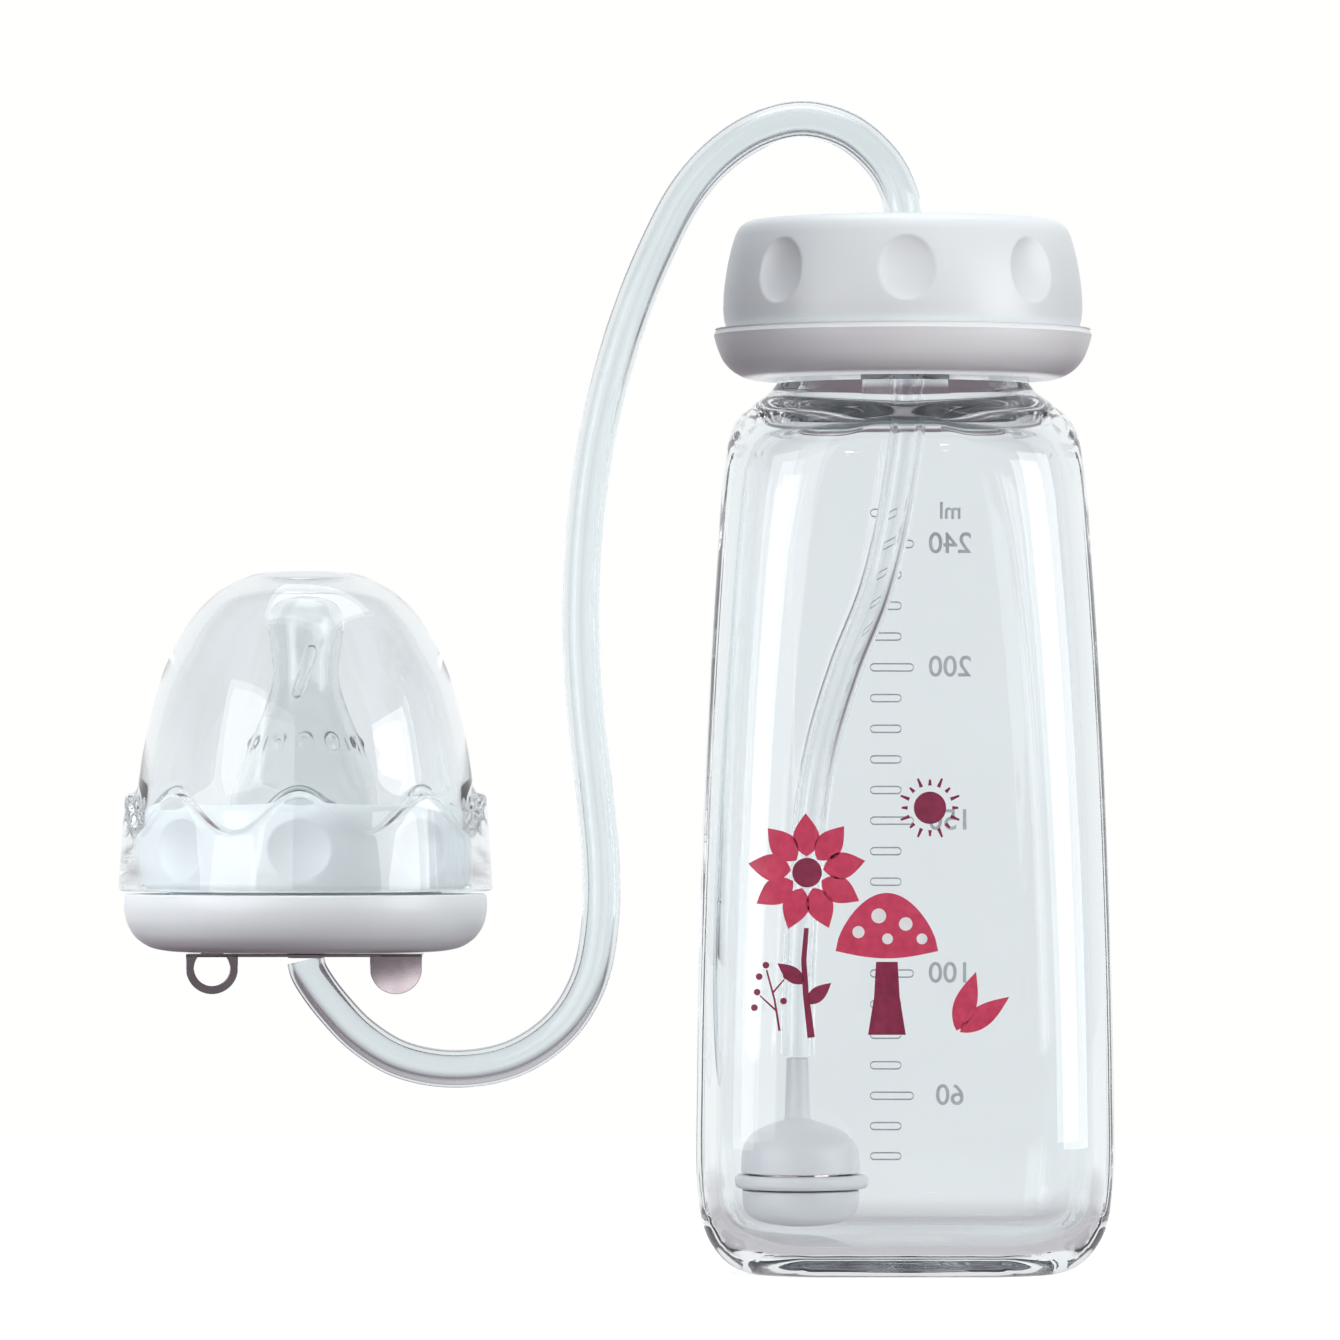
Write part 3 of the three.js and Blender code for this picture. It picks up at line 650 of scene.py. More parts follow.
def make_weight(grey):
    upper = [(1.0, 32.3), (1.6, 32.3, 0.2), (1.9, 23.0, 0.5), (4.6, 22.2, 1.2), (7.2, 21.2, 1.6),
             (8.9, 19.2, 1.6),
             (9.4, 17.2, 1.2), (9.4, 14.9, 0.2), (8.0, 14.9), (7.9, 17.3), (7.1, 19.0), (5.6, 20.1),
             (1.0, 20.5)]
    lower = [(0, 5.5), (3.6, 5.6, 1.5), (6.6, 6.3, 1.5), (8.5, 8.0, 1.5), (9.3, 10.2, 1.2), (9.3, 12.3, 0.2),
             (7.9, 12.3), (7.8, 10.6), (7.0, 8.7), (5.4, 7.6), (3.2, 7.1), (0, 7.1)]
    ring = filleted([(8.2, 12.6), (10.2, 12.6, 0.6), (10.7, 13.1, 0.5), (10.7, 14.1, 0.5), (10.2, 14.6, 0.6),
                     (8.2, 14.6)])
    pieces = []
    for name, profile, node in (("weight_upper", filleted(upper), "weight_upper_shell"),
                                ("weight_lower", filleted(lower), "weight_lower_shell"),
                                ("weight_bead", ring, "weight_seam_ring")):
        pieces.append(dress(turned(name, profile, x=WEIGHT_X, sides=128), grey, "straw", "grey_plastic",
                            node))
    return pieces


# ------------------------------------------------------------------ teat unit
TEAT_X = -90.0
WAVES = 8


def make_teat_base(white):
    cup = filleted([
        (3.2, 48.3), (20.6, 48.3, 1.5), (23.6, 48.9, 1.5), (25.8, 50.5, 1.3), (27.0, 52.6, 1.3),
        (27.4, 55.0, 1.2),
        (27.2, 57.0, 0.4), (25.5, 57.0, 0.3), (25.2, 53.6, 0.5), (23.8, 51.4, 0.5), (21.4, 50.4, 0.4),
        (20.5, 51.0, 0.3),
        (20.5, 66.8, 0.4), (18.3, 66.8, 0.4), (18.3, 52.0, 0.5), (17.0, 50.4, 0.5), (5.4, 50.4, 0.3),
        (5.4, 55.6, 0.3),
        (3.2, 55.6)])
    dress(turned("base_cup", cup, x=TEAT_X, sides=200), white, "hose", "white_plastic", "teat_base")
    ridge = thread("base_thread", 20.3, 21.3, 59.4, 3.0, 1.5, x=TEAT_X)
    dress(ridge, white, "hose", "white_plastic")


def make_teat_collar(white):
    profile = filleted([
        (24.0, 57.6, 0.4), (24.5, 58.4, 0.5), (24.7, 60.4, 0.8), (24.7, 67.4, 0.9), (24.2, 69.2, 0.8),
        (23.0, 70.3, 0.7),
        (21.8, 70.65, 0.5), (14.6, 70.65, 0.5), (14.6, 69.0), (21.9, 69.0), (21.9, 57.6)])
    start = next(i for i, p in enumerate(profile) if p[1] > 59.0)
    stop = next(i for i, p in enumerate(profile) if p[1] > 68.6)
    profile = profile[:start] + refined(profile[start:stop], 0.25) + profile[stop:]
    shape = dimpled(24.7, 63.8, 4.5, 4.5, 1.25)
    dress(turned("teat_ring", profile, x=TEAT_X, sides=480, shape=shape, sharp=50),
          white, "teat_collar", "white_plastic", "teat_collar")
    ridge = thread("teat_ring_thread", 22.0, 20.9, 60.9, 3.0, 1.5, x=TEAT_X)
    dress(ridge, white, "teat_collar", "white_plastic")


VENT_BUMPS, VENT_Z = 12, 80.0
BAR = ((1.0, 93.6), (-1.1, 87.0))  # the raised pill on the teat's front, across and up


def teat_relief(r, z, angle):
    """Vent bumps round the cone and a slanted pill outline on the front."""
    step = TAU / VENT_BUMPS
    off = (angle + math.pi / 2 + step / 2) % step - step / 2
    d = math.hypot(off * r, z - VENT_Z)
    r += 0.45 * math.exp(-(d / 0.75) ** 2)
    if math.sin(angle) < -0.5:
        p, a, b = Vector((r * math.cos(angle), z)), Vector(BAR[0]), Vector(BAR[1])
        t = max(0, min(1, (p - a).dot(b - a) / (b - a).length_squared))
        d = (p - a - (b - a) * t).length
        r += 0.30 * math.exp(-((d - 0.62) / 0.16) ** 2)
    return r, z


def make_teat(silicone):
    outside = catmull_rom([(0, 102.15, 0), (1.9, 101.85, 0), (3.8, 101.0, 0), (5.2, 99.7, 0), (5.67, 98.2, 0),
                           (5.6, 96.4, 0), (5.2, 93.6, 0), (4.95, 90.9, 0), (5.2, 88.2, 0), (5.9, 85.8, 0),
                           (7.4, 82.0, 0),
                           (9.3, 77.8, 0), (11.4, 73.0, 0), (12.8, 69.9, 0)], 14)
    inside = catmull_rom([(11.3, 69.9, 0), (9.9, 73.0, 0), (7.9, 77.4, 0), (6.1, 81.6, 0), (4.7, 85.4, 0),
                          (4.0, 88.2, 0),
                          (3.8, 90.9, 0), (4.0, 93.6, 0), (4.4, 96.4, 0), (4.3, 98.2, 0), (3.6, 99.6, 0),
                          (2.2, 100.6, 0),
                          (0, 100.9, 0)], 6)
    flange = filleted([(13.4, 68.7, 0.4), (19.8, 68.7, 0.3), (19.8, 67.1, 0.3), (11.9, 67.1, 0.4)])
    outer = [(max(p.x, 0), p.y) for p in outside]
    inner = [(max(p.x, 0), p.y) for p in inside]
    count = len(outer)

    def relief(r, z, angle):
        return teat_relief(r, z, angle) if (round(r, 6), round(z, 6)) in outer_set else (r, z)

    outer_set = {(round(r, 6), round(z, 6)) for r, z in outer[1:count]}
    dress(turned("teat_skin", outer + flange + inner, x=TEAT_X, sides=300, shape=relief),
          silicone, "teat", "clear_silicone", "teat")


def make_dome(clear):
    def wave(angle):
        return 68.9 + 2.9 * math.cos(WAVES * (angle + math.pi / 2))

    def level(r, z):
        return around(384, lambda a: (TEAT_X + r * math.cos(a), r * math.sin(a), z))

    def waved(r, dz):
        return around(384, lambda a: (TEAT_X + r * math.cos(a), r * math.sin(a), wave(a) + dz))

    crown = catmull_rom([(4.0, 105.55, 0), (7.2, 105.25, 0), (10.0, 104.3, 0), (12.9, 102.7, 0),
                         (16.2, 99.7, 0),
                         (18.8, 96.0, 0), (21.4, 90.6, 0), (23.2, 84.4, 0), (24.5, 78.4, 0), (25.2, 73.6, 0)],
                         6)
    inner = catmull_rom([(25.1, 69.2, 0), (24.2, 72.0, 0), (22.9, 78.0, 0), (21.5, 84.0, 0), (19.8, 89.6, 0),
                         (17.2, 94.6, 0), (14.7, 98.2, 0), (11.6, 101.1, 0), (6.6, 103.5, 0)], 6)
    rings = [level(p.x, p.y) for p in crown]
    rings += [waved(25.6, 0.75), waved(25.75, 0.5), waved(26.1, 0.35), waved(26.7, 0.25), waved(27.1, 0.05),
              waved(27.3, -0.5)]
    for t in (0.1, 0.25, 0.5, 0.75):
        rings.append(around(384, lambda a: (
            TEAT_X + (27.3 + 0.9 * t) * math.cos(a), (27.3 + 0.9 * t) * math.sin(a),
            (wave(a) - 0.5) * (1 - t) + 58.0 * t)))
    rings += [level(28.2, 58.0), level(28.2, 57.7), level(27.95, 57.45), level(25.5, 57.45),
              level(25.2, 57.7), level(25.2, 60.0)]
    rings += [level(p.x, p.y) for p in inner]
    piece = mesh_piece("dome", *skin(rings, (TEAT_X, 0, 105.6), (TEAT_X, 0, 103.8)), sharp=50)
    dress(piece, clear, "cap", "clear_plastic", "dome_cap")


def flat_curve(name, outlines, thickness, bevel=0.08):
    """A sheet cut to closed outlines in its own XY plane, as a mesh centred on that plane."""
    curve = bpy.data.curves.new(name, "CURVE")
    curve.dimensions = "2D"
    curve.fill_mode = "BOTH"
    curve.extrude = (thickness / 2 - bevel) * MM
    curve.bevel_depth = bevel * MM
    curve.offset = -bevel * MM
    curve.bevel_resolution = 2
    for outline in outlines:
        spline = curve.splines.new("POLY")
        spline.points.add(len(outline) - 1)
        for point, (x, y) in zip(spline.points, outline):
            point.co = (x * MM, y * MM, 0, 1)
        spline.use_cyclic_u = True
    piece = link(name, curve)
    bpy.ops.object.select_all(action="DESELECT")
    piece.select_set(True)
    bpy.context.view_layer.objects.active = piece
    bpy.ops.object.convert(target="MESH")
    piece = bpy.context.object
    piece.data.shade_smooth()
    piece.data.set_sharp_from_angle(angle=math.radians(40))
    return piece


def arc(cx, cy, r, start, stop, count=24):
    return [(cx + r * math.cos(a), cy + r * math.sin(a))
            for a in (start + (stop - start) * i / count for i in range(count + 1))]


PLATE_TOP, PLATE_T = 48.0, 0.45
PLATE_HALF_LENGTH, PLATE_HALF_DEPTH = 17.7, 7.0
TAB_HALF_WIDTH, TAB_BOTTOM, EYE_R = 3.9, 42.0, 2.7


def make_plate(steel):
    corner = 1.5
    w, d = PLATE_HALF_LENGTH - corner, PLATE_HALF_DEPTH - corner
    outline = [p for i, (cx, cy) in enumerate(((w, d), (-w, d)))
               for p in arc(cx, cy, corner, i * math.pi / 2, (i + 1) * math.pi / 2, 8)]
    outline += [(-PLATE_HALF_LENGTH, -PLATE_HALF_DEPTH), (PLATE_HALF_LENGTH, -PLATE_HALF_DEPTH)]
    sheet = flat_curve("hanger", [outline, arc(0, 0, 3.2, 0, TAU, 40)[:-1]], PLATE_T)
    sheet.location = (TEAT_X * MM, 0, (PLATE_TOP - PLATE_T / 2) * MM)
    pieces = [sheet]
    for side, eye in ((-1, True), (1, False)):
        x, z = side * (PLATE_HALF_LENGTH - TAB_HALF_WIDTH), TAB_BOTTOM + TAB_HALF_WIDTH
        top = PLATE_TOP - 0.1
        outlines = [[(x + TAB_HALF_WIDTH, top), (x - TAB_HALF_WIDTH, top)] + arc(x, z, TAB_HALF_WIDTH,
                                                                                 math.pi, TAU, 40)]
        if eye:
            outlines.append(arc(x, z, EYE_R, 0, TAU, 40)[:-1])
        tab = flat_curve("tab", outlines, PLATE_T)
        tab.rotation_euler = (math.pi / 2, 0, 0)
        tab.location = (TEAT_X * MM, (-PLATE_HALF_DEPTH + PLATE_T / 2) * MM, 0)
        pieces.append(tab)
    bpy.ops.object.select_all(action="DESELECT")
    for piece in pieces:
        piece.select_set(True)
    bpy.ops.object.transform_apply(location=True, rotation=True, scale=True)
    dress(joined("hanger", pieces), steel, "plate", "steel", "hanger_plate")


# ------------------------------------------------------------------ scale on the back wall
SCALE_60_Z, SCALE_STEP = 25.73, 4.687  # height of the 60 ml mark, and of each 10 ml
LABELS = (60, 100, 150, 200, 240)


def pill(x0, x1, z, half, wire, lift):
    """A raised pill outline on the back wall as a closed round wire."""
    path = arc(x1 - half, z, half, -math.pi / 2, math.pi / 2, 8) + arc(x0 + half, z, half, math.pi / 2,
                                                                       1.5 * math.pi, 8)
    rings = []
    for i, (x, y) in enumerate(path):
        nx, ny = path[(i + 1) % len(path)]
        px, py = path[i - 1]
        d = Vector((nx - px, ny - py)).normalized()
        r = wire * (0.45 + 0.55 * abs(y - z) / half)
        deep = wall_depth(x, y) + lift
        rings.append([(x + d.y * r * math.cos(a), deep + r * math.sin(a), y - d.x * r * math.cos(a))
                      for a in (TAU * k / 8 for k in range(8))])
    return skin(rings)


def make_scale(relief, faint):
    vertices, faces = [], []
    for ml in range(40, 260, 10):
        z = SCALE_60_Z + SCALE_STEP * (ml - 60) / 10
        far = 2.2 if ml in LABELS else 0.3
        v, f = pill(-4.4, far, z, 0.55, 0.11, 0.05)
        faces += [tuple(i + len(vertices) for i in face) for face in f]
        vertices += v
    dress(mesh_piece("scale_marks", vertices, faces), relief, "bottle", "bottle_glass")
    pieces = []
    words = [(str(ml), SCALE_60_Z + SCALE_STEP * (ml - 60) / 10, 3.3) for ml in LABELS]
    words.append(("ml", SCALE_60_Z + SCALE_STEP * 19 + 0.2, 2.6))
    for word, z, size in words:
        text = bpy.data.curves.new("scale_" + word, "FONT")
        text.body = word
        text.size = size * 1.35 * MM
        text.extrude = 0.08 * MM
        text.bevel_depth = 0.05 * MM
        text.align_x = "CENTER"
        text.align_y = "CENTER"
        label = link("scale_" + word, text)
        bpy.ops.object.select_all(action="DESELECT")
        label.select_set(True)
        bpy.context.view_layer.objects.active = label
        bpy.ops.object.convert(target="MESH")
        label = bpy.context.object
        for v in label.data.vertices:
            x, z_up, out = -v.co.x / MM + 7.8, v.co.y / MM + z, v.co.z / MM + 0.1
            v.co = Vector((x, wall_depth(x, z_up) + out, z_up)) * MM
        pieces.append(label)
    dress(joined("scale_figures", pieces), faint, "bottle", "bottle_glass")


# ------------------------------------------------------------------ print on the front wall
def print_piece(name, polygons, ink, layer=0):
    """Flat outlines (across, up) wrapped onto the bottle's front wall as a skin of ink."""
    bm = bmesh.new()
    for polygon in polygons:
        bm.faces.new([bm.verts.new((x, 0, z)) for x, z in polygon])
    for x in [-30 + 1.2 * i for i in range(51)]:
        whole = bm.faces[:] + bm.edges[:] + bm.verts[:]
        bmesh.ops.bisect_plane(bm, geom=whole, plane_co=(x, 0, 0), plane_no=(1, 0, 0))
    for z in [20 + 6 * i for i in range(12)]:
        whole = bm.faces[:] + bm.edges[:] + bm.verts[:]
        bmesh.ops.bisect_plane(bm, geom=whole, plane_co=(0, 0, z), plane_no=(0, 0, 1))
    bmesh.ops.triangulate(bm, faces=bm.faces[:])
    front = {v: v.co.copy() for v in bm.verts}
    out = 0.03 + 0.05 * layer
    for v, co in front.items():
        v.co = Vector((co.x, -wall_depth(co.x, co.z) - out, co.z)) * MM
    mesh = bpy.data.meshes.new(name)
    bm.to_mesh(mesh)
    bm.free()
    piece = link(name, mesh)
    thick = piece.modifiers.new("thickness", "SOLIDIFY")
    thick.thickness = 0.04 * MM
    thick.offset = 0
    dress(piece, ink, "bottle", "bottle_glass")


def disc(cx, cz, rx, rz=None, count=40, turn=0.0):
    rz = rx if rz is None else rz
    c, s = math.cos(turn), math.sin(turn)
    return [(cx + rx * math.cos(a) * c - rz * math.sin(a) * s,
             cz + rx * math.cos(a) * s + rz * math.sin(a) * c)
            for a in (TAU * k / count for k in range(count))]


def stroke(points, widths):
    """A line with a width at each point, as one outline."""
    left, right = [], []
    for i, (x, z) in enumerate(points):
        a, b = points[max(i - 1, 0)], points[min(i + 1, len(points) - 1)]
        d = Vector((b[0] - a[0], b[1] - a[1])).normalized()
        w = widths[i] / 2
        left.append((x - d.y * w, z + d.x * w))
        right.append((x + d.y * w, z - d.x * w))
    return left + right[::-1]


def leaf(x, z, length, width, angle, count=14):
    """A pointed leaf from its stalk end."""
    c, s = math.cos(angle), math.sin(angle)
    outline = []
    for side in (1, -1):
        for i in range(count + 1):
            t = i / count if side > 0 else 1 - i / count
            w = side * width / 2 * math.sin(math.pi * t ** 0.8)
            if i not in (0, count) or side > 0:
                outline.append((x + t * length * c - w * s, z + t * length * s + w * c))
    return outline


def make_print(crimson, maroon, paper):
    """A motif of simple shapes: a flower, a toadstool, a plain sun, a sprig of berries and two leaves."""
    flower = (-14.8, 60.4)
    petals = [leaf(flower[0] + 2.4 * math.cos(a), flower[1] + 2.4 * math.sin(a), 6.4, 4.0, a)
              for a in (TAU * k / 9 + 0.2 for k in range(9))]
    print_piece("print_flower", petals, crimson)
    print_piece("print_flower_eye", [disc(*flower, 2.2)], maroon)
    stem = [(-14.9, 52.2), (-15.3, 47.5), (-15.0, 42.5), (-14.2, 36.0)]
    print_piece("print_stem", [stroke(stem, [0.7, 0.8, 0.9, 1.1]), leaf(-15.2, 44.0, 5.0, 2.3, 2.5),
                               leaf(-14.9, 41.0, 4.8, 2.2, 0.7)], maroon)
    cap = [(-10.6 + 15.2 * t, 48.8 + 8.6 * math.sin(math.pi * t) ** 0.62)
           for t in (i / 36 for i in range(37))]
    cap += [(4.6 - 15.2 * t, 48.8 - 1.1 * math.sin(math.pi * t)) for t in (i / 18 for i in range(1, 18))]
    print_piece("print_cap", [cap], crimson)
    spots = [disc(-7.2, 51.6, 0.9), disc(-4.2, 54.0, 1.1), disc(-2.9, 50.6, 0.8), disc(-0.2, 52.8, 1.0),
             disc(2.2, 50.6, 0.8)]
    print_piece("print_spots", spots, paper, 1)
    stalk = [(-4.6, 47.2), (-1.4, 47.2), (-1.1, 42.0), (-0.2, 36.4), (-5.8, 36.4), (-4.9, 42.0)]
    print_piece("print_stalk", [stalk], maroon)
    sun = (3.4, 70.0)
    rays = [stroke([(sun[0] + r * math.cos(a), sun[1] + r * math.sin(a)) for r in (3.3, 4.2 + 0.5 * (k % 2))],
                   [0.55, 0.3])
            for k, a in enumerate(TAU * k / 16 for k in range(16))]
    print_piece("print_sun", [disc(*sun, 2.4)] + rays, maroon)
    sprig = [stroke([(-18.9, 37.0), (-19.6, 41.5), (-20.8, 46.0)], [0.35, 0.3, 0.25]),
             stroke([(-19.4, 40.0), (-21.8, 42.2)], [0.3, 0.2]),
             stroke([(-19.9, 42.6), (-18.2, 44.6)], [0.3, 0.2])]
    sprig += [disc(x, z, 0.5, count=18) for x,
              z in ((-20.9, 46.7), (-22.2, 42.7), (-17.9, 45.1), (-21.9, 45.0),
                                                     (-18.3, 41.4), (-22.6, 40.4))]
    print_piece("print_sprig", sprig, maroon)
    print_piece("print_leaves", [leaf(7.3, 37.0, 9.2, 3.4, 1.25), leaf(7.8, 36.8, 9.0, 3.2, 0.62)], crimson)


# ------------------------------------------------------------------ light and floor
def node_ramp(nodes, stops):
    ramp = nodes.new("ShaderNodeValToRGB")
    for position, _ in stops[1:-1]:
        ramp.color_ramp.elements.new(position)
    for element, (position, colour) in zip(ramp.color_ramp.elements, stops):
        element.position = position
        element.color = (*colour, 1)
    return ramp


def halved(nodes, links, source):
    """A direction's part, from -1..1 to 0..1."""
    node = nodes.new("ShaderNodeMapRange")
    node.inputs["From Min"].default_value = -1
    links.new(source, node.inputs["Value"])
    return node.outputs["Result"]


def either(nodes, links, factor, a, b):
    node = nodes.new("ShaderNodeMix")
    node.data_type = "RGBA"
    links.new(factor, node.inputs["Factor"])
    for name, value in (("A", a), ("B", b)):
        if isinstance(value, tuple):
            node.inputs[name].default_value = (*value, 1)
        else:
            links.new(value, node.inputs[name])
    return node.outputs["Result"]


def make_world():
    """White behind, pale at the sides and dim in front. Matt surfaces see a soft dim dome of light."""
    world = bpy.data.worlds.new("studio")
    SCENE.world = world
    world.use_nodes = True
    nodes, links = world.node_tree.nodes, world.node_tree.links
    coords = nodes.new("ShaderNodeTexCoord")
    parts = nodes.new("ShaderNodeSeparateXYZ")
    links.new(coords.outputs["Generated"], parts.inputs["Vector"])
    clear = node_ramp(nodes, WORLD_FRONT_TO_BACK)
    links.new(halved(nodes, links, parts.outputs["Y"]), clear.inputs["Fac"])
    matt = node_ramp(nodes, WORLD_DOWN_TO_UP)
    links.new(halved(nodes, links, parts.outputs["Z"]), matt.inputs["Fac"])
    path = nodes.new("ShaderNodeLightPath")
    seen = either(nodes, links, path.outputs["Is Diffuse Ray"], clear.outputs["Color"], matt.outputs["Color"])
    seen = either(nodes, links, path.outputs["Is Camera Ray"], seen, (1.0, 1.0, 0.99))
    links.new(seen, nodes["Background"].inputs["Color"])


# Colours by direction: front to back for the clear and glossy parts, down to up for the matt ones.
WORLD_FRONT_TO_BACK = [(0.0, (0.42, 0.41, 0.43)), (0.43, (0.38, 0.36, 0.38)), (0.47, (0.36, 0.31, 0.345)),
                       (0.53, (0.62, 0.63, 0.66)), (0.66, (0.84, 0.88, 0.90)), (1.0, (0.97, 0.985, 0.99))]
WORLD_DOWN_TO_UP = [(0.0, (0.06, 0.05, 0.055)), (0.5, (0.22, 0.205, 0.225)), (1.0, (0.50, 0.52, 0.54))]


FLOOR_RADIUS, FLOOR_DROP = 6, 0.0002
WHITE_FROM, WHITE_TO = 0.1, 0.6  # distances over which the floor turns as white as the backdrop
# Painted colours the floor shows to all but the camera: a painted reflection of the backdrop, dim in front; painted
# shade from above, paler near the bottle's axis; and the dark and pale light it gives matt surfaces.
BACKDROP, FRONT_DIM = (0.97, 0.985, 0.99), (0.36, 0.34, 0.36)
DUSK, DUSK_NEAR = (0.24, 0.19, 0.22), (0.60, 0.575, 0.60)
MATT_STEEP, MATT_SHALLOW = (0.11, 0.07, 0.095), (0.52, 0.52, 0.53)


def make_floor():
    """A plain pale floor.

    To all but the camera it glows with painted colours, as a glossy table would look: a painted reflection of the
    backdrop at a glance, painted shade from above, paler near the bottle's axis.
    """
    bpy.ops.mesh.primitive_circle_add(vertices=96, radius=FLOOR_RADIUS, fill_type="NGON",
                                      location=(0, 0, -FLOOR_DROP))
    floor = bpy.context.object
    floor.name = "floor"
    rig.stage(floor)
    material, bsdf = new_material("floor", (0.9, 0.9, 0.89), 0.9)
    nodes, links = material.node_tree.nodes, material.node_tree.links
    tint(material, noise(material, 3, 2), (0.88, 0.88, 0.88), (0.91, 0.91, 0.9), bsdf.inputs["Base Color"])
    bsdf.inputs["Emission Color"].default_value = (1, 1, 0.99, 1)
    bsdf.inputs["Emission Strength"].default_value = 0.4
    coords = nodes.new("ShaderNodeTexCoord")
    distance = nodes.new("ShaderNodeVectorMath")
    distance.operation = "LENGTH"
    links.new(coords.outputs["Object"], distance.inputs[0])
    parts = nodes.new("ShaderNodeSeparateXYZ")
    links.new(coords.outputs["Object"], parts.inputs["Vector"])
    glance = nodes.new("ShaderNodeLayerWeight")
    glance.inputs["Blend"].default_value = 0.5

    def ranged(source, low, high):
        node = nodes.new("ShaderNodeMapRange")
        node.inputs["From Min"].default_value = low
        node.inputs["From Max"].default_value = high
        links.new(source, node.inputs["Value"])
        return node.outputs["Result"]

    far = ranged(distance.outputs["Value"], WHITE_FROM, WHITE_TO)
    behind = ranged(parts.outputs["Y"], -0.4, 0.02)
    shallow = ranged(glance.outputs["Facing"], 0.76, 0.93)
    backdrop = either(nodes, links, behind, FRONT_DIM, BACKDROP)
    dusk = either(nodes, links, ranged(distance.outputs["Value"], 0.07, 0.15), DUSK_NEAR, DUSK)
    clear_seen = either(nodes, links, shallow, dusk, backdrop)
    matt_seen = either(nodes, links, shallow, MATT_STEEP, MATT_SHALLOW)
    path = nodes.new("ShaderNodeLightPath")
    # A painted reflection: an emission in place of what a glossy floor would mirror.
    painted_reflection = nodes.new("ShaderNodeEmission")
    painted_reflection_colour = either(nodes, links, path.outputs["Is Diffuse Ray"], clear_seen, matt_seen)
    links.new(painted_reflection_colour, painted_reflection.inputs["Color"])
    white = nodes.new("ShaderNodeEmission")
    white.inputs["Color"].default_value = (1, 1, 0.99, 1)

    def blended(factor, a, b):
        mix = nodes.new("ShaderNodeMixShader")
        links.new(factor, mix.inputs["Fac"])
        links.new(a, mix.inputs[1])
        links.new(b, mix.inputs[2])
        return mix.outputs["Shader"]

    seen = blended(far, bsdf.outputs["BSDF"], white.outputs["Emission"])
    shader = blended(path.outputs["Is Camera Ray"], painted_reflection.outputs["Emission"], seen)
    links.new(shader, nodes["Material Output"].inputs["Surface"])
    floor.data.materials.append(material)


def area_light(name, location, aim, size, power, colour=(1, 1, 1), lights="all"):
    """A soft box that lights matt surfaces, is mirrored in glossy ones, or both."""
    data = bpy.data.lights.new(name, "AREA")
    data.shape = "RECTANGLE"
    data.size, data.size_y = size
    data.energy = power
    data.color = colour
    lamp = bpy.data.objects.new(name, data)
    SCENE.collection.objects.link(lamp)
    lamp.location = location
    lamp.rotation_euler = (Vector(aim) - Vector(location)).to_track_quat("-Z", "Y").to_euler()
    lamp.visible_diffuse = lights != "glossy"
    lamp.visible_glossy = lights != "matt"
    lamp.visible_transmission = lights != "matt"
    lamp.visible_camera = False
    return lamp


def strip_box(name, centre, low, high, radiance, z=(0.004, 0.30), distance=0.42):
    """A soft box seen in reflections between two bearings, in degrees to the right of the camera's side."""
    middle, half = math.radians((low + high) / 2), math.radians((high - low) / 2)
    width, height = 2 * distance * math.tan(half), z[1] - z[0]
    location = (centre + distance * math.sin(middle), -distance * math.cos(middle), (z[0] + z[1]) / 2)
    area_light(name, location, (centre, 0, location[2]), (width, height), radiance * math.pi * width * height,
               lights="glossy")


GLINT_RADIANCE, CARD_DISTANCE = 40, 0.25


def glint(x, z, size):
    """A small lamp mirrored in the bottle's front wall at a chosen spot."""
    step = 0.5
    spot = Vector((x, -wall_depth(x, z), z)) * MM
    tilt = (wall_depth(x, z + step) - wall_depth(x, z - step)) / (2 * step)
    away = (spot - SCENE.camera.location).normalized().reflect(Vector((0, -1, -tilt)).normalized())
    area_light("glint", spot + away, spot, size, GLINT_RADIANCE * math.pi * size[0] * size[1],
               lights="glossy")


def card(x, z, tilt, size, radiance):
    """A small white card mirrored in the hanger's right tab, from its chosen spot down."""
    spot = Vector((x, -PLATE_HALF_DEPTH, z)) * MM
    away = (spot - SCENE.camera.location).normalized()
    away.y = -away.y
    drop = Vector((math.sin(tilt), 0, -math.cos(tilt))) * size[1] / 2
    lamp = area_light("card", spot + away * CARD_DISTANCE + drop, spot + drop, size,
                      radiance * math.pi * size[0] * size[1], lights="glossy")
    lamp.rotation_euler.rotate_axis("Z", tilt)


def make_lights():
    """A key at the front right, a soft box above, a low fill at the teat, strips for the clear parts."""
    middle = (-0.02, 0, 0.09)
    area_light("key", (0.47, -0.95, 0.36), middle, (0.9, 0.5), 7.1, (1.0, 0.995, 0.985), "matt")
    area_light("top", (0.0, 0.05, 1.2), middle, (1.0, 1.0), 6.4, (0.97, 0.99, 1.0))
    fill = area_light("fill", (-0.21, -0.06, 0.085), (-0.116, 0, 0.05), (0.05, 0.05), 0.017,
                      (0.98, 0.99, 1.0), "matt")
    fill.data.spread = math.radians(70)
    strip_box("strip_right", 0.02, 44, 82, 4.2)
    strip_box("strip_left", -0.02, -67, -37, 2.6)
    strip_box("strip_left_broad", -0.02, -37, -10, 1.35, (0.0, 0.6), 1.0)
    glint(-8.0, 122.8, (0.0016, 0.005))
    glint(4.9, 123.8, (0.0026, 0.0035))
    card(TEAT_X + PLATE_HALF_LENGTH - TAB_HALF_WIDTH, 44.4, math.radians(17), (0.016, 0.006), 2.4)


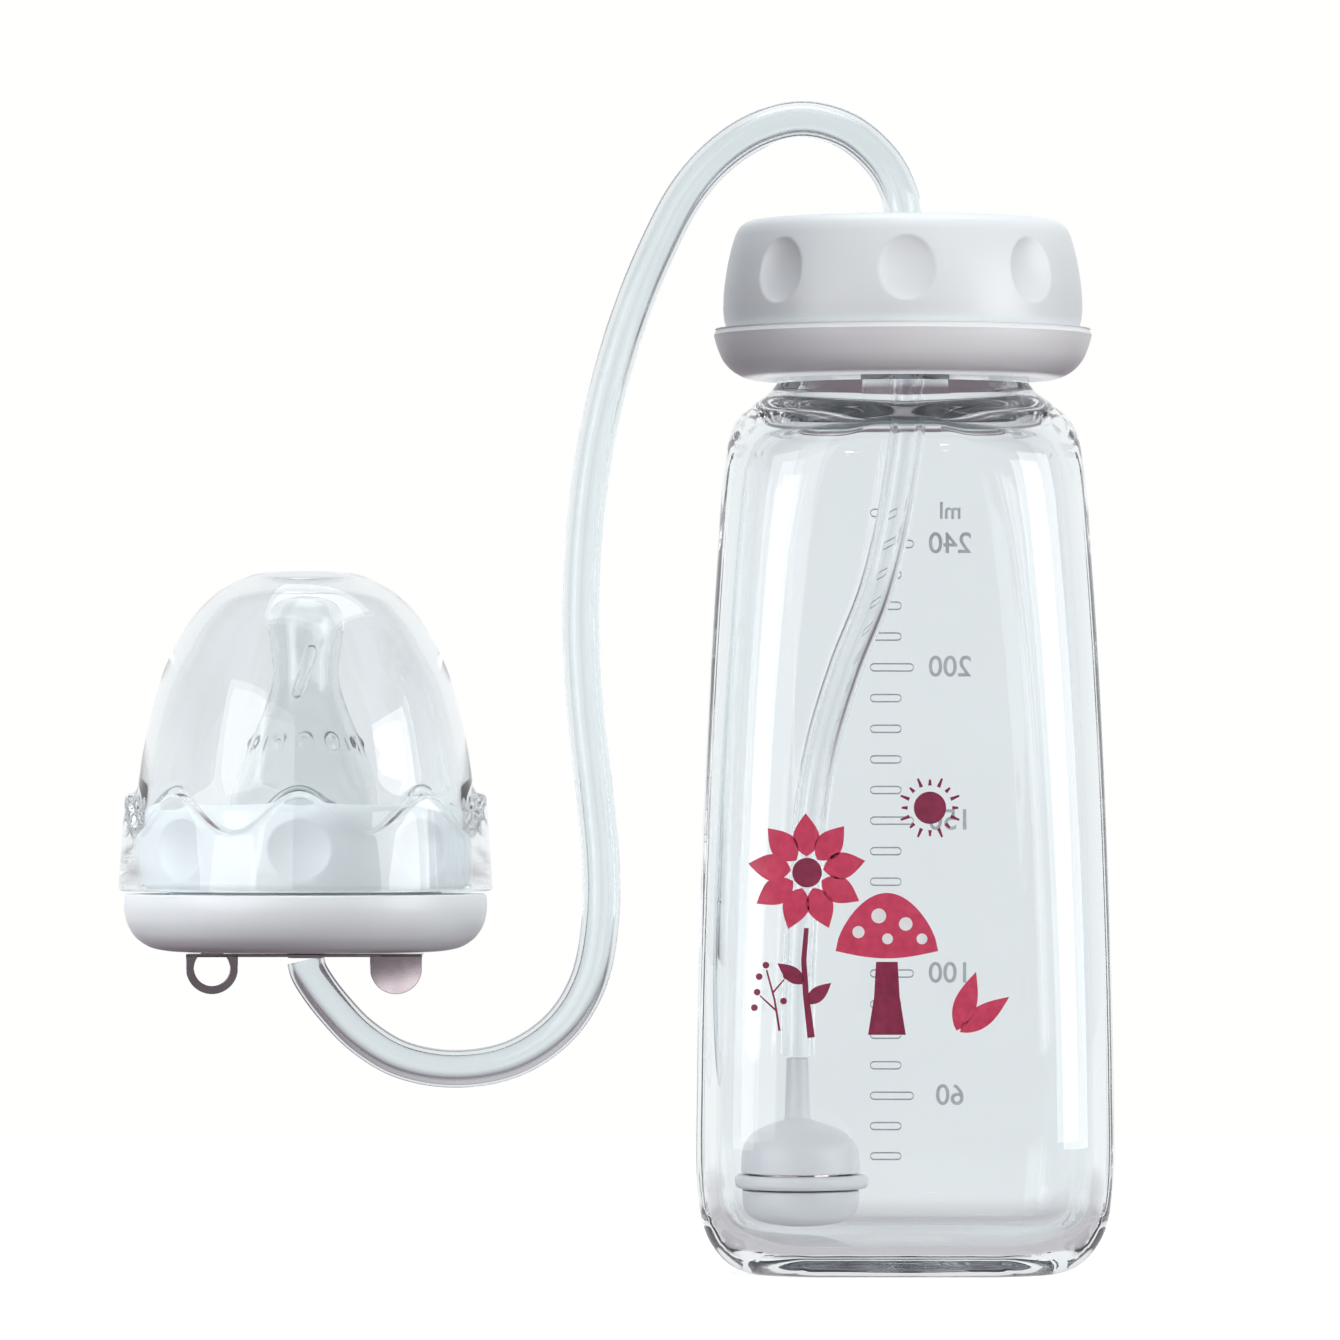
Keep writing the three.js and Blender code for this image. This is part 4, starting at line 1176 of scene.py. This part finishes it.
# ------------------------------------------------------------------ everything
make_camera()
glass = clear_material("bottle_glass", (0.905, 0.931, 0.941), 0.0, 1.46, 40, 0.06 * MM)
clear_plastic = clear_material("clear_plastic", (0.91, 0.932, 0.942), 0.0, 1.46, 50, 0.04 * MM, 0.12)
silicone = clear_material("hose_silicone", (0.865, 0.90, 0.91), 0.05, 1.38, 120, 0.03 * MM)
straw_silicone = clear_material("straw_silicone", (0.955, 0.962, 0.968), 0.03, 1.38, 120, 0.03 * MM)
teat_silicone = clear_material("teat_silicone", (0.93, 0.948, 0.95), 0.01, 1.45, 120, 0.02 * MM, 0.3)
white = plastic_material("white_plastic", (0.80, 0.845, 0.86), 0.34)
# The drip ring's plastic: a lighter copy of the white plastic, painted brighter, with a painted glow near the axis.
dish_painted_glow = plastic_material("dish_plastic_painted_glow", (0.89, 0.915, 0.925), 0.35)
glow_inside(dish_painted_glow, 23.4 * MM, 24.4 * MM, 0.42)
grey = plastic_material("pale_grey_plastic", (0.74, 0.755, 0.77), 0.36)
steel = steel_material()
crimson = ink_material("ink_crimson", (0.56, 0.025, 0.085), (0.70, 0.05, 0.13))
maroon = ink_material("ink_maroon", (0.19, 0.008, 0.045), (0.30, 0.015, 0.07))
paper = ink_material("ink_white", (0.82, 0.82, 0.82), (0.9, 0.9, 0.9))
# The scale's raised marks and figures are clear glass on the bottle; here they are opaque grey, a painted shade
# standing in for how the clear ridges bend the light.
relief, relief_bsdf = new_material("scale_relief", (0.45, 0.48, 0.50), 0.25)
spread(relief, noise(relief, 300), 0.2, 0.32, relief_bsdf.inputs["Roughness"])
tint(relief, noise(relief, 200), (0.40, 0.42, 0.45), (0.50, 0.53, 0.56), relief_bsdf.inputs["Base Color"])
faint, faint_bsdf = new_material("scale_faint", (0.64, 0.67, 0.69), 0.25)
spread(faint, noise(faint, 300), 0.2, 0.32, faint_bsdf.inputs["Roughness"])
tint(faint, noise(faint, 200), (0.58, 0.61, 0.63), (0.67, 0.70, 0.72), faint_bsdf.inputs["Base Color"])

straw, straw_line = make_cords(silicone, straw_silicone)
weights = make_weight(grey)
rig.cord(straw, exit=straw_line[0], length=length_of(straw_line), diameter=2 * STRAW_R * MM, far_end="fitting",
        stiffness="medium", lay="hanging", path=straw_line, with_pieces=weights)
make_bottle(glass)
make_bottle_collar(white)
make_drip_ring(dish_painted_glow)
make_lid(white, grey, teat_silicone)
make_teat_base(white)
make_teat_collar(white)
make_teat(teat_silicone)
make_dome(clear_plastic)
make_plate(steel)
make_scale(relief, faint)
make_print(crimson, maroon, paper)
carried_over = {"lid_gasket": teat_silicone, "weight_core": steel, "teat_valve": teat_silicone,
                "hose_barb": grey}
for node, material in carried_over.items():
    mesh = frame["nodes"][node].data
    mesh.materials.clear()
    mesh.materials.append(material)

make_world()
make_floor()
make_lights()
SCENE.view_settings.view_transform = "Standard"
SCENE.cycles.max_bounces = 32
SCENE.cycles.transmission_bounces = 28
SCENE.cycles.glossy_bounces = 28
SCENE.cycles.transparent_max_bounces = 32
SCENE.cycles.use_denoising = True

json.dump({"cad": [list(p) for p in CAD_BOX], "visual": [list(p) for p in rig.bounds()]}, open("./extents.json", "w"))
